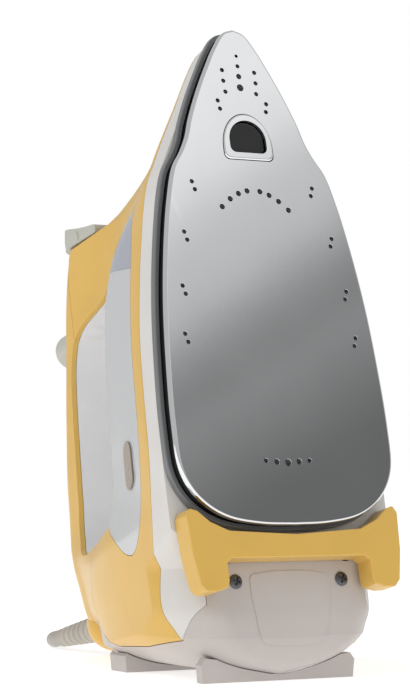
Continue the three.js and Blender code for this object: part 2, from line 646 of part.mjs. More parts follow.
function makeStrainRelief() {
  const profile = [[0, SWIVEL.depth - 2], [6, SWIVEL.depth - 2], [8.6, SWIVEL.depth + 1], [9, SWIVEL.depth + 4],
    [8.6, SWIVEL.depth + 7], [6.6, SWIVEL.depth + 10]];
  const ribs = 6;
  const start = SWIVEL.depth + 20;
  for (let rib = 0; rib < ribs; rib += 1) {
    const at = start + rib * 6;
    const radius = 6.6 - rib * 0.3;
    profile.push([radius - 1, at], [radius, at + 0.8], [radius, at + 4.2], [radius - 1, at + 5]);
  }
  const end = start + ribs * 6 + 4;
  profile.push([4.7, end - 3], [4.7, end], [0, end]);
  return depthLathe(profile, 0, SWIVEL.along, 24);
}

function heelFoot(y, halfWidth, thickness, height) {
  const outline = [[-halfWidth, 0], [halfWidth, 0], [halfWidth + 0.8, height - 3], [halfWidth - 1.5, height],
    [halfWidth - 9, height - 1], [-halfWidth + 9, height - 1], [-halfWidth + 1.5, height], [-halfWidth - 0.8, height - 3]];
  const geometry = new THREE.ExtrudeGeometry(shapeOf(outline), { depth: thickness, bevelEnabled: false });
  geometry.rotateX(Math.PI / 2).translate(0, y + thickness, -DATUM_HEIGHT).rotateX(LEAN);
  return solid(geometry);
}

// ---------- the cord, in the world's frame ----------
const CORD = 7.5; // cord diameter
const RELIEF_TILT = THREE.MathUtils.degToRad(3.5); // the strain relief points this much above the depth axis
const COIL = { x: 90, y: 118, inner: 29, outer: 53, low: 0.2, high: 23.4 };
const CORD_ROUTE = [[0, 116.4, 5.9], [1.4, 128.2, 4.4], [5.6, 138.3, 3.95], [12.3, 147, 3.95], [21, 153.7, 3.95],
  [31.1, 157.9, 3.95], [43.5, 160.2, 3.95], [52.2, 161.8, 3.95]];
const PLUG_ROUTE = [[147.6, 121, 3.95], [145.9, 103, 3.95], [140.2, 89, 3.95], [131, 77, 3.95],
  [119, 67.4, 4.4], [107.5, 60.7, 6.2], [95.9, 54, 8.6], [90.7, 49.6, 10], [87.2, 43.7, 11.2], [86, 37.6, 11.6]];
const PLUG = { x: 86, y: 36.7, z: 11.6, length: 34 }; // its blades point towards -Y

function cordTube(points, steps) {
  const path = new THREE.CatmullRomCurve3(points.map(([x, y, z]) => new THREE.Vector3(x, y, z)));
  const circle = new THREE.Shape().absarc(0, 0, CORD / 2, 0, 2 * Math.PI);
  return new THREE.ExtrudeGeometry(circle, { steps, curveSegments: 5, extrudePath: path });
}

function makeCoil() {
  const { inner, outer: rim, low, high } = COIL;
  const corner = 3.5;
  const profile = [[inner + corner, low], [rim - corner, low], [rim, low + corner], [rim, high - corner],
    [rim - corner, high], [inner + corner, high], [inner, high - corner], [inner, low + corner],
    [inner + corner, low]].map(([radius, z]) => new THREE.Vector2(radius, z));
  return new THREE.LatheGeometry(profile, 40).rotateX(Math.PI / 2).translate(COIL.x, COIL.y, 0);
}

// A hook-and-loop strap over the coil, open underneath.
function makeTie() {
  const inside = [COIL.inner - 1, COIL.outer + GAP];
  const [near, far] = inside;
  const top = COIL.high + GAP;
  const outline = [[near - 1.6, 1], [near, 1], [near, top], [far, top], [far, 1], [far + 1.6, 1],
    [far + 1.6, top + 1.6], [near - 1.6, top + 1.6]];
  const geometry = new THREE.ExtrudeGeometry(shapeOf(outline), { depth: 12, bevelEnabled: false });
  return geometry.rotateX(Math.PI / 2).translate(0, 6, 0).rotateZ(-2.3).translate(COIL.x, COIL.y, 0);
}

function makePlugBody() {
  const { x, y, z, length } = PLUG;
  const points = [[0, 0], [4.9, 0], [5.4, 9], [9.5, 14], [11, 19], [11, length - 1.5], [10, length], [0, length]];
  const profile = points.map(([radius, at]) => new THREE.Vector2(radius, at));
  return new THREE.LatheGeometry(profile, 20).rotateZ(Math.PI).translate(x, y, z);
}

function plugBlade(side) {
  return box([1.6, 17, 6.4], [PLUG.x + side * 6.35, PLUG.y - PLUG.length - GAP - 8.5, PLUG.z]);
}

// ---------- assembly ----------
const fillAxis = { from: [52, 121], to: [128, 143.6], radius: 6 };

function alongFill(radius) {
  const [[y0, z0], [y1, z1]] = [fillAxis.from, fillAxis.to];
  const length = Math.hypot(y1 - y0, z1 - z0);
  return new THREE.CylinderGeometry(radius, radius, length, 20)
    .rotateX(Math.atan2(z1 - z0, y1 - y0)).translate(0, (y0 + y1) / 2, (z0 + z1) / 2);
}

function addShells() {
  const fillHole = solid(alongFill(fillAxis.radius + GAP));
  const tube = solid(alongFill(fillAxis.radius)).subtract(solid(alongFill(fillAxis.radius - 1.5)))
    .subtract(windowBlock(GAP)).subtract(solid(box([30, 60, 20], [0, 130, 153.6])));
  const fillBore = solid(alongFill(fillAxis.radius - 1.5));
  const swivelRoom = solid(new THREE.SphereGeometry(SWIVEL.radius + 0.4, 28, 18).scale(1.15, 1, 1)
    .translate(0, SWIVEL.depth, SWIVEL.along));
  addPart(lean, 'lower_skirt', geometryOf(makeLowerSkirt().subtract(postHoles[0]).subtract(postHoles[1])), WHITE, 0.35);
  addPart(lean, 'body_shell', geometryOf(makeBodyShell(fillHole).add(hingeEars())), SAND, 0.4);
  addPart(lean, 'handle_shell', geometryOf(makeHandleShell([dialBore, buttonBore, swivelRoom])), SAND, 0.4);
  addPart(lean, 'handle_liner', geometryOf(makeLiner().subtract(fillHole)), '#e4e4e6', 0.2);
  addPart(lean, 'saddle_cover', geometryOf(makeSaddleCover()), '#e4e4e6', 0.25);
  addPart(lean, 'water_tank', geometryOf(makeTank(fillBore)), '#c3c8d2', 0.1);
  addPart(lean, 'indicator_lens', geometryOf(makeLens()), '#3b3637', 0.1);
  addPart(lean, 'fill_tube', geometryOf(largestPiece(tube)), WHITE, 0.5);
  const cover = makeHeelCover().subtract(postHoles[0]).subtract(postHoles[1]);
  addPart(lean, 'heel_cover', geometryOf(largestPiece(cover)), COVER_GREY, 0.4);
  addPart(lean, 'front_heel_foot', geometryOf(largestPiece(heelFoot(8, 39, 5, 11).subtract(outerGrown))), COVER_GREY, 0.5);
  addPart(lean, 'rear_heel_foot', geometryOf(largestPiece(heelFoot(78, 39, 15, 10.5).subtract(outerGrown))), COVER_GREY, 0.5);
}

function addSole() {
  addPart(lean, 'soleplate', geometryOf(makeSoleplate()), '#b9bcbe', 0.08, 1);
  addPart(lean, 'sole_casting', geometryOf(makeCasting()), '#9a9c9e', 0.5, 0.9);
  addPart(lean, 'heat_shield', geometryOf(makeHeatShield()), '#17181a', 0.5);
  addPart(lean, 'shield_trim', geometryOf(makeShieldTrim()), '#77797b', 0.35, 0.3);
  addPart(lean, 'heating_element', elementTube(ELEMENT.radius, ELEMENT.depth), '#6f7072', 0.4, 0.9);
  const cover = [[-23, 21], [-23, 99], [-11.5, 121], [11.5, 121], [23, 99], [23, 21]];
  addPart(lean, 'steam_chamber_cover', depthExtrude(cover, CASTING_TOP - 2, CASTING_TOP + 0.5), '#8d8f91', 0.5, 0.9);
  addPart(lean, 'front_foot_bezel', geometryOf(makeFootBezel()), '#d7dadc', 0.08, 1);
}

function addLift() {
  const rack = makeRack();
  addPart(lean, 'lift_yoke', geometryOf(makeYoke()), SAND, 0.4);
  addPart(lean, 'lift_carriage', makeCarriage(), '#d9d6cf', 0.5);
  addPart(lean, 'lift_rack', rack, '#d9d6cf', 0.5);
  addPart(lean, 'front_lift_rod', makeFrontRod(), '#8f9193', 0.4, 0.9);
  addPart(lean, 'front_lift_foot', geometryOf(makeFrontFoot()), '#161616', 0.45);
  addPart(lean, 'lift_pinion', geometryOf(makePinion()), '#d9d6cf', 0.5);
  addPart(lean, 'lift_gearbox', geometryOf(makeGearbox()), '#3a3b3d', 0.5);
  addPart(lean, 'lift_motor', acrossCylinder(8, 17, PINION.depth, PINION.along + 3).translate(29.5, 0, 0),
    '#8c8e90', 0.35, 0.9);
}

function addHandleFittings() {
  addPart(lean, 'fill_door', geometryOf(largestPiece(makeFillDoor())), SOFT_GREY, 0.35);
  addPart(lean, 'fill_door_pin', acrossCylinder(DOOR_PIN.radius, DOOR_PIN.length, DOOR_PIN.depth, DOOR_PIN.along, 12),
    '#8f9193', 0.3, 0.9);
  addPart(lean, 'temperature_dial', makeDial(), SOFT_GREY, 0.4);
  addPart(lean, 'dial_sensor', depthLathe([[3, 155], [6, 155], [6, 162], [3, 162], [3, 155]], 0, DIAL.along),
    '#2f4f6b', 0.5);
  addPart(lean, 'steam_button', geometryOf(makeButton()), SOFT_GREY, 0.4);
  const crown = crownAt(BUTTON.along);
  addPart(lean, 'button_spring', makeSpring(3, 0.35, crown - 10.8, crown - 4, 4, 0, BUTTON.along), '#a0a2a4', 0.3, 0.9);
  addPart(lean, 'button_switch', box([8, 4, 8], [0, crown - 8.2 - BUTTON.travel - GAP - 2, BUTTON.along]),
    '#202224', 0.5);
  addPart(lean, 'indicator_board', box([22, 1.6, 9], [0, 149, 134]), '#2f6b45', 0.6);
  for (const [name, side] of [['left_badge', -1], ['right_badge', 1]]) addPart(lean, name, makeBadge(side), '#9b8d80', 0.4);
}

// A blank plate on the tank's side, in a shallow layer over the skin.
function makeBadge(side) {
  const band = skin(-0.9, SKIRT_FACE).subtract(skin(-GAP, SKIRT_FACE - 1));
  const cutter = solid(acrossExtrude([[45, 0], [54, -0.5], [54.5, 21], [45.5, 21.5]], side > 0 ? 20 : -90, side > 0 ? 90 : -20));
  return geometryOf(largestPiece(band.intersect(cutter)));
}

function addInternals() {
  addPart(lean, 'control_board', box([44, 1.6, 34], [0, 96, -34]), '#2f6b45', 0.6);
  addPart(lean, 'mains_terminal_block', box([24, 12, 14], [0, 135, -34]), '#e7e3da', 0.6);
  addPart(lean, 'temperature_sensor', box([10, 4, 6], [16, CASTING_TOP + 2.6, 8]), '#c9b58a', 0.5);
  addPart(lean, 'thermal_fuse', acrossCylinder(2, 14, CASTING_TOP + 2.4, 8, 12).translate(-16, 0, 0), '#b7b9bb', 0.3, 0.9);
  addPart(lean, 'drip_valve', depthLathe([[0, CASTING_TOP + 0.9], [4, CASTING_TOP + 0.9], [4, 33], [0, 33]], -13, 100, 16),
    '#c8a24a', 0.35, 0.9);
  addPart(lean, 'water_pump', box([26, 16, 32], [0, 89, 34]), '#3b3d40', 0.5);
}

function addHeel() {
  addPart(lean, 'swivel_cover', geometryOf(makeSwivelCover()), SAND, 0.4);
  const relief = new THREE.Group();
  relief.position.set(0, SWIVEL.depth, SWIVEL.along);
  relief.rotation.x = RELIEF_TILT;
  lean.add(relief);
  addPart(relief, 'strain_relief', makeStrainRelief().translate(0, -SWIVEL.depth, -SWIVEL.along), '#aaa59c', 0.6);
  for (const [name, side] of [['heel_screw_left', -1], ['heel_screw_right', 1]]) {
    addPart(lean, name, makeScrew(side * 27.4, -50.5), '#8a8c8e', 0.3, 0.9);
  }
}

// A pan-head screw whose head looks out of the heel cover.
function makeScrew(u, v) {
  const body = solid(depthLathe([[0, SKIRT_FACE - 1.2], [2.4, SKIRT_FACE - 1.1], [3.2, SKIRT_FACE - GAP],
    [0, SKIRT_FACE - GAP]], u, v, 20));
  const slots = [0, 90].map((turn) => solid(new THREE.BoxGeometry(4, 1.2, 0.9)
    .rotateY(THREE.MathUtils.degToRad(turn + 20)).translate(u, SKIRT_FACE - 1.2, v)));
  return geometryOf(body.subtract(slots[0]).subtract(slots[1]));
}

function addCord() {
  addPart(iron, 'cord_run', cordTube(CORD_ROUTE, 20), '#b5b0a8', 0.6);
  addPart(iron, 'cord_coil', makeCoil(), '#b5b0a8', 0.6);
  addPart(iron, 'coil_tie', makeTie(), '#1c1c1e', 0.9);
  addPart(iron, 'plug_cord', cordTube(PLUG_ROUTE, 14), '#b5b0a8', 0.6);
  addPart(iron, 'plug_body', makePlugBody(), '#b5b0a8', 0.5);
  addPart(iron, 'plug_blade_left', plugBlade(-1), '#c9b068', 0.3, 1);
  addPart(iron, 'plug_blade_right', plugBlade(1), '#c9b068', 0.3, 1);
}

addShells();
addSole();
addLift();
addHandleFittings();
addInternals();
addHeel();
addCord();

export default iron;
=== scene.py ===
"""Looks of a clothes iron standing on its heel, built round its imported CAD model.

Shapes are drawn in millimetres in the iron's own frame (x across, y depth behind the ironing face,
z along the sole) and then leaned back into the row frame, in metres.
"""

import math

import bpy
from mathutils import Matrix, Vector


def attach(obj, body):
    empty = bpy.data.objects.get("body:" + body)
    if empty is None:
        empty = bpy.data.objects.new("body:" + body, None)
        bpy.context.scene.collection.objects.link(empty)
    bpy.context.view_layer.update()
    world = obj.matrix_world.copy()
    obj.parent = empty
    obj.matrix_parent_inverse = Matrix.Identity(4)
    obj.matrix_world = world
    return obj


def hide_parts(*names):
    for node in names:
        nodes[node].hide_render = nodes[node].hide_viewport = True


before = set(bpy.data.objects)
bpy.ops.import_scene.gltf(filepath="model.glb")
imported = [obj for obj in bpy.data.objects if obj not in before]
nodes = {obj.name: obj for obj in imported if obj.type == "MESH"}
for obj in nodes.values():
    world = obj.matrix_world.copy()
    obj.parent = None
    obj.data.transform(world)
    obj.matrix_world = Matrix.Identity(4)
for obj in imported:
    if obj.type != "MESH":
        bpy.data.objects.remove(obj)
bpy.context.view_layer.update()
scene = bpy.context.scene

MM = 0.001
LEAN = math.radians(13.56)
DATUM_HEIGHT = 96.4
MIDDLE = 103
NOSE = 205
GAP = 0.3
WALL = 2.5
PLATE = 2.5
SKIRT_FACE = 12
PLACE = (
    Matrix.Scale(MM, 4)
    @ Matrix.Translation((0, -MIDDLE, DATUM_HEIGHT))
    @ Matrix.Rotation(-LEAN, 4, "X")
)


# ---------- camera ----------
def make_camera():
    data = bpy.data.cameras.new("camera")
    data.sensor_width = 36
    data.lens = 133.714
    data.clip_end = 30
    camera = bpy.data.objects.new("camera", data)
    camera.location = (-0.60685, -1.08039, 0.09872)
    camera.rotation_euler = (math.radians(92.362), 0, math.radians(-30))
    scene.collection.objects.link(camera)
    scene.camera = camera


# ---------- curves ----------
def catmull_point(p0, p1, p2, p3, t):
    """A point of the centripetal curve between p1 and p2."""
    spans = [max((b - a).length, 1e-6) ** 0.5 for a, b in ((p0, p1), (p1, p2), (p2, p3))]
    before, here, after = spans
    leave = ((p1 - p0) / before - (p2 - p0) / (before + here) + (p2 - p1) / here) * here
    arrive = ((p2 - p1) / here - (p3 - p1) / (here + after) + (p3 - p2) / after) * here
    square, cube = t * t, t * t * t
    return (
        p1 * (2 * cube - 3 * square + 1)
        + leave * (cube - 2 * square + t)
        + p2 * (3 * square - 2 * cube)
        + arrive * (cube - square)
    )


def smooth_line(points, steps, closed=False):
    """A centripetal Catmull-Rom line through points, with steps spans between each two."""
    given = [Vector(p) for p in points]
    count = len(given)
    line = []
    for i in range(count if closed else count - 1):
        if closed:
            p0, p1, p2, p3 = (given[(i + k - 1) % count] for k in range(4))
        else:
            p1, p2 = given[i], given[i + 1]
            p0 = given[i - 1] if i else p1 * 2 - p2
            p3 = given[i + 2] if i + 2 < count else p2 * 2 - p1
        line += [catmull_point(p0, p1, p2, p3, k / steps) for k in range(steps)]
    if not closed:
        line.append(given[-1])
    return [tuple(p) for p in line]


def smooth_value(keys, values, at):
    """A value between a table's rows, without overshoot."""
    last = len(keys) - 1
    if at <= keys[0]:
        return values[0]
    if at >= keys[last]:
        return values[last]
    k = max(i for i in range(last) if keys[i] <= at)

    def slope(i):
        return (values[i + 1] - values[i]) / (keys[i + 1] - keys[i])

    def tangent(i):
        if i == 0:
            return slope(0)
        if i == last:
            return slope(last - 1)
        before, after = slope(i - 1), slope(i)
        return 0 if before * after <= 0 else 2 * before * after / (before + after)

    span = keys[k + 1] - keys[k]
    t = (at - keys[k]) / span
    rise = values[k + 1] - values[k]
    a = tangent(k) * span - rise
    b = rise - tangent(k + 1) * span
    return values[k] + t * rise + t * (1 - t) * ((1 - t) * a + t * b)


def arc(centre, radius, start, end, steps):
    """Points on a circle from one angle to another, in degrees."""
    angles = [math.radians(start + (end - start) * k / steps) for k in range(steps + 1)]
    return [(centre[0] + radius * math.cos(a), centre[1] + radius * math.sin(a)) for a in angles]


def offset_outline(points, distance):
    """An outline moved outwards by a distance, for points in clockwise order."""
    moved = []
    for i, (a, b) in enumerate(points):
        before, after = points[i - 1], points[(i + 1) % len(points)]
        da, db = after[0] - before[0], after[1] - before[1]
        length = math.hypot(da, db)
        moved.append((a - distance * db / length, b + distance * da / length))
    return moved


# ---------- meshes as values ----------
def mesh_of(vertices, faces):
    mesh = bpy.data.meshes.new("shape")
    mesh.from_pydata([tuple(v) for v in vertices], [], faces)
    mesh.update()
    return mesh


def ring_faces(rings, count):
    faces = []
    for s in range(rings - 1):
        for i in range(count):
            j = (i + 1) % count
            faces.append((s * count + i, s * count + j, (s + 1) * count + j, (s + 1) * count + i))
    return faces


def loft(sections):
    """A closed solid through a rising stack of (z, outline), outlines counterclockwise from above."""
    count = len(sections[0][1])
    vertices = [(x, y, z) for z, outline in sections for x, y in outline]
    faces = ring_faces(len(sections), count)
    top = (len(sections) - 1) * count
    faces.append(tuple(reversed(range(count))))
    faces.append(tuple(range(top, top + count)))
    return mesh_of(vertices, faces)


def area_of(outline):
    return sum(a[0] * b[1] - b[0] * a[1] for a, b in zip(outline, outline[1:] + outline[:1])) / 2


def counterclockwise(outline):
    outline = [tuple(p) for p in outline]
    return outline if area_of(outline) > 0 else outline[::-1]


def extrude(outline, start, end, turn):
    mesh = loft([(start, counterclockwise(outline)), (end, counterclockwise(outline))])
    mesh.transform(turn)
    return mesh


ACROSS = Matrix(((0, 0, 1, 0), (1, 0, 0, 0), (0, 1, 0, 0), (0, 0, 0, 1)))
INWARD = Matrix(((1, 0, 0, 0), (0, 0, 1, 0), (0, 1, 0, 0), (0, 0, 0, 1)))


def across_extrude(outline, start=-90, end=90):
    """A side-view outline [depth, along] pulled across the iron."""
    return extrude(outline, start, end, ACROSS)


def depth_extrude(outline, start, end):
    """A front-view outline [across, along] pulled from one depth to a greater one."""
    mesh = extrude(outline, start, end, INWARD)
    mesh.flip_normals()
    return mesh


def box(size, centre):
    x, y, z = (s / 2 for s in size)
    mesh = loft([(-z, [(-x, -y), (x, -y), (x, y), (-x, y)]), (z, [(-x, -y), (x, -y), (x, y), (-x, y)])])
    mesh.transform(Matrix.Translation(centre))
    return mesh


def lathe(profile, sides=64):
    """Turns [radius, along] round the z axis; the profile runs from axis to axis."""
    angles = [2 * math.pi * k / sides for k in range(sides)]
    inner = profile[1:-1]
    vertices = [(r * math.cos(a), r * math.sin(a), z) for r, z in inner for a in angles]
    faces = ring_faces(len(inner), sides)
    first, last = len(vertices), len(vertices) + 1
    vertices += [(0, 0, profile[0][1]), (0, 0, profile[-1][1])]
    top = (len(inner) - 1) * sides
    for i in range(sides):
        j = (i + 1) % sides
        faces.append((first, j, i))
        faces.append((last, top + i, top + j))
    mesh = mesh_of(vertices, faces)
    if profile[-1][1] < profile[0][1]:
        mesh.flip_normals()
    return mesh


FACING_IN = Matrix.Rotation(math.radians(-90), 4, "X")  # turns +z into +y


def depth_lathe(profile, u, v, sides=64):
    """A lathe whose axis is the iron's depth; profile points are [radius, depth]."""
    mesh = lathe(profile, sides)
    mesh.transform(Matrix.Translation((u, 0, v)) @ FACING_IN)
    return mesh


def depth_cylinder(radius, u, v, start, end, sides=32):
    return depth_lathe([(0, start), (radius, start), (radius, end), (0, end)], u, v, sides)


def across_cylinder(radius, length, y, z, sides=32):
    half = length / 2
    mesh = lathe([(0, -half), (radius, -half), (radius, half), (0, half)], sides)
    mesh.transform(Matrix.Translation((0, y, z)) @ Matrix.Rotation(math.radians(90), 4, "Y"))
    return mesh


def combined(first, second, operation):
    pair = [bpy.data.objects.new("working", mesh) for mesh in (first, second)]
    for working in pair:
        scene.collection.objects.link(working)
    step = pair[0].modifiers.new("step", "BOOLEAN")
    step.operation = operation
    step.object = pair[1]
    step.solver = "MANIFOLD"
    depsgraph = bpy.context.evaluated_depsgraph_get()
    result = bpy.data.meshes.new_from_object(pair[0].evaluated_get(depsgraph))
    for working in pair:
        bpy.data.objects.remove(working)
    return result


def common(first, *others):
    for other in others:
        first = combined(first, other, "INTERSECT")
    return first


def cut(first, *others):
    for other in others:
        first = combined(first, other, "DIFFERENCE")
    return first


def joined(first, *others):
    for other in others:
        first = combined(first, other, "UNION")
    return first


# ---------- pieces ----------
def add_piece(name, mesh, body, material, stands_for=(), sharp=32, bevel=0, place=PLACE):
    """A finished piece: shaded smooth up to an angle, riding on a CAD body."""
    mesh.transform(place)
    mesh.name = name
    mesh.materials.clear()
    mesh.materials.append(material)
    piece = bpy.data.objects.new(name, mesh)
    scene.collection.objects.link(piece)
    if bevel:
        rounding = piece.modifiers.new("rounding", "BEVEL")
        rounding.width = bevel * MM
        rounding.segments = 3
        rounding.limit_method = "ANGLE"
        rounding.angle_limit = math.radians(35)
        rounding.harden_normals = True
    for polygon in mesh.polygons:
        polygon.use_smooth = True
    mesh.set_sharp_from_angle(angle=math.radians(sharp))
    evened = piece.modifiers.new("evened", "WEIGHTED_NORMAL")
    evened.keep_sharp = True
    evened.weight = 80
    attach(piece, body)
    if stands_for:
        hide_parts(*([stands_for] if isinstance(stands_for, str) else stands_for))
    return piece


# ---------- materials ----------
class Nodes:
    """Short names for building one material's nodes."""

    def __init__(self, name):
        self.material = bpy.data.materials.new(name)
        self.material.use_nodes = True
        self.tree = self.material.node_tree
        self.shader = self.tree.nodes["Principled BSDF"]
        self.position = self.add("ShaderNodeTexCoord").outputs["Object"]

    def add(self, kind, **values):
        node = self.tree.nodes.new(kind)
        for key, value in values.items():
            if hasattr(node, key):
                setattr(node, key, value)
            else:
                node.inputs[key.replace("_", " ")].default_value = value
        return node

    def link(self, source, target):
        self.tree.links.new(source, target)

    def set(self, **values):
        for key, value in values.items():
            self.shader.inputs[key.replace("_", " ")].default_value = value

    def noise(self, scale, detail=3.0):
        node = self.add("ShaderNodeTexNoise", Scale=scale, Detail=detail)
        self.link(self.position, node.inputs["Vector"])
        return node.outputs["Fac"]

    def between(self, factor, low, high):
        node = self.add("ShaderNodeMapRange")
        node.inputs["To Min"].default_value = low
        node.inputs["To Max"].default_value = high
        self.link(factor, node.inputs["Value"])
        return node.outputs["Result"]

    def colours(self, factor, stops):
        ramp = self.add("ShaderNodeValToRGB")
        elements = ramp.color_ramp.elements
        while len(elements) < len(stops):
            elements.new(0.5)
        for element, (place, colour) in zip(elements, stops):
            element.position = place
            element.color = (*colour, 1)
        self.link(factor, ramp.inputs["Fac"])
        return ramp.outputs["Color"]

    def bump(self, height, distance, strength=1.0):
        node = self.add("ShaderNodeBump", Strength=strength, Distance=distance)
        self.link(height, node.inputs["Height"])
        self.link(node.outputs["Normal"], self.shader.inputs["Normal"])


def shade(colour, factor):
    return tuple(min(1, c * factor) for c in colour)


def plastic(name, colour, roughness=0.3, grain=0.00004, coat=0.0):
    """Moulded plastic: a fine grain, a faint flow mottle and slightly uneven gloss."""
    m = Nodes(name)
    mottle = m.noise(35, 4)
    tones = m.colours(mottle, [(0.3, shade(colour, 0.965)), (0.7, shade(colour, 1.03))])
    m.link(tones, m.shader.inputs["Base Color"])
    m.link(m.between(m.noise(90), roughness - 0.05, roughness + 0.05), m.shader.inputs["Roughness"])
    m.bump(m.noise(2600, 2), grain, 0.6)
    m.set(Coat_Weight=coat, Coat_Roughness=0.12)
    return m.material


def metal(name, colour, roughness=0.25, stretch=None, smudge=0.06):
    """Metal with faint smudges, and brushing where stretch is given."""
    m = Nodes(name)
    m.set(Metallic=1)
    tint = m.noise(25, 3)
    m.link(m.colours(tint, [(0.3, shade(colour, 0.95)), (0.7, colour)]), m.shader.inputs["Base Color"])
    m.link(m.between(m.noise(45, 4), roughness, roughness + smudge), m.shader.inputs["Roughness"])
    if stretch:
        mapping = m.add("ShaderNodeMapping")
        mapping.inputs["Scale"].default_value = stretch
        m.link(m.position, mapping.inputs["Vector"])
        lines = m.add("ShaderNodeTexNoise", Scale=900.0, Detail=2.0)
        m.link(mapping.outputs["Vector"], lines.inputs["Vector"])
        m.bump(lines.outputs["Fac"], 0.00001, 0.12)
    return m.material


def rubber(name, colour, roughness=0.6):
    m = Nodes(name)
    m.link(m.colours(m.noise(60, 4), [(0.3, shade(colour, 0.92)), (0.7, shade(colour, 1.05))]),
           m.shader.inputs["Base Color"])
    m.link(m.between(m.noise(200), roughness - 0.08, roughness + 0.08), m.shader.inputs["Roughness"])
    m.bump(m.noise(1500, 3), 0.00006, 0.7)
    return m.material


def tank_plastic():
    """Smoky translucent plastic with painted shading: paler below a set height, darker and bluer above it."""
    m = Nodes("tank_plastic")
    height = m.add("ShaderNodeSeparateXYZ")
    m.link(m.position, height.inputs["Vector"])
    level = m.add("ShaderNodeMapRange")
    level.inputs["From Min"].default_value = 0.1835
    level.inputs["From Max"].default_value = 0.1850
    m.link(height.outputs["Z"], level.inputs["Value"])
    # Painted shading: pale grey below the set height, darker blue-grey above it.
    stops = [(0.0, (0.66, 0.67, 0.68)), (0.45, (0.60, 0.615, 0.64)), (0.55, (0.34, 0.36, 0.40)),
             (1.0, (0.43, 0.455, 0.53))]
    m.link(m.colours(level.outputs["Result"], stops), m.shader.inputs["Base Color"])
    m.link(m.between(m.noise(60), 0.10, 0.18), m.shader.inputs["Roughness"])
    m.bump(m.noise(300, 2), 0.00003, 0.4)
    m.set(Transmission_Weight=0.18, IOR=1.45, Coat_Weight=0.4, Coat_Roughness=0.08)
    return m.material


def woven(name, colour):
    """A hook-and-loop strap: crossed ribs under a matt fuzz."""
    m = Nodes(name)
    ribs = [m.add("ShaderNodeTexWave", Scale=500.0, bands_direction=axis, Distortion=0.6) for axis in "XZ"]
    for rib in ribs:
        m.link(m.position, rib.inputs["Vector"])
    both = m.add("ShaderNodeMath", operation="MULTIPLY")
    for rib, socket in zip(ribs, both.inputs):
        m.link(rib.outputs["Fac"], socket)
    m.link(m.colours(both.outputs[0], [(0.0, shade(colour, 0.5)), (1.0, shade(colour, 2.2))]),
           m.shader.inputs["Base Color"])
    m.bump(both.outputs[0], 0.0003)
    m.set(Roughness=0.95, Sheen_Weight=0.3)
    return m.material


def circuit_board(name):
    """Green board with paler copper tracks in a cell pattern."""
    m = Nodes(name)
    cells = m.add("ShaderNodeTexVoronoi", Scale=260.0, feature="DISTANCE_TO_EDGE")
    m.link(m.position, cells.inputs["Vector"])
    m.link(m.colours(cells.outputs["Distance"], [(0.04, (0.10, 0.30, 0.14)), (0.1, (0.03, 0.14, 0.06))]),
           m.shader.inputs["Base Color"])
    m.bump(cells.outputs["Distance"], 0.00005)
    m.set(Roughness=0.4)
    return m.material


SAND = plastic("sand_plastic", (0.73, 0.455, 0.10), 0.30)
WHITE = plastic("white_plastic", (0.70, 0.68, 0.655), 0.33)
COVER = plastic("cover_plastic", (0.53, 0.49, 0.465), 0.36)
SOFT_GREY = plastic("soft_grey_plastic", (0.50, 0.50, 0.44), 0.32)
LINER = plastic("silver_liner", (0.80, 0.80, 0.81), 0.16, 0.00002, 0.5)
LENS = plastic("smoked_lens", (0.05, 0.04, 0.045), 0.10, 0.00001, 1.0)
BLACK = plastic("black_plastic", (0.012, 0.012, 0.013), 0.42)
TRIM = plastic("dark_grey_plastic", (0.17, 0.175, 0.18), 0.30)
GEAR = plastic("acetal", (0.70, 0.68, 0.63), 0.35)
BADGE = plastic("badge_taupe", (0.33, 0.28, 0.23), 0.28)
TANK = tank_plastic()
CHROME = metal("sole_chrome", (0.80, 0.81, 0.82), 0.05, (1, 1, 0.02), 0.03)
BRIGHT = metal("bezel_chrome", (0.86, 0.87, 0.88), 0.06)
ALUMINIUM = metal("cast_aluminium", (0.20, 0.20, 0.21), 0.55)
STEEL = metal("steel", (0.52, 0.52, 0.53), 0.28)
SCREW_STEEL = metal("screw_steel", (0.13, 0.13, 0.14), 0.35)
BRASS = metal("brass", (0.66, 0.50, 0.22), 0.25)
RELIEF = rubber("relief_rubber", (0.46, 0.43, 0.38), 0.5)
JACKET = rubber("cord_jacket", (0.44, 0.415, 0.38), 0.5)
STRAP = woven("strap", (0.03, 0.03, 0.032))
BOARD = circuit_board("board")

CAD_LOOKS = {
    "sole_casting": ALUMINIUM, "steam_chamber_cover": ALUMINIUM, "heating_element": STEEL,
    "fill_tube": WHITE, "fill_door_pin": STEEL, "dial_sensor": BLACK, "button_spring": STEEL,
    "button_switch": BLACK, "indicator_board": BOARD, "control_board": BOARD,
    "mains_terminal_block": WHITE, "temperature_sensor": GEAR, "thermal_fuse": STEEL,
    "drip_valve": BRASS, "water_pump": BLACK, "lift_carriage": GEAR, "lift_rack": GEAR,
    "front_lift_rod": STEEL, "lift_pinion": GEAR, "lift_gearbox": BLACK, "lift_motor": STEEL,
    "plug_blade_left": BRASS, "plug_blade_right": BRASS,
}


def dress_cad_nodes():
    for name, material in CAD_LOOKS.items():
        data = nodes[name].data
        data.materials.clear()
        data.materials.append(material)


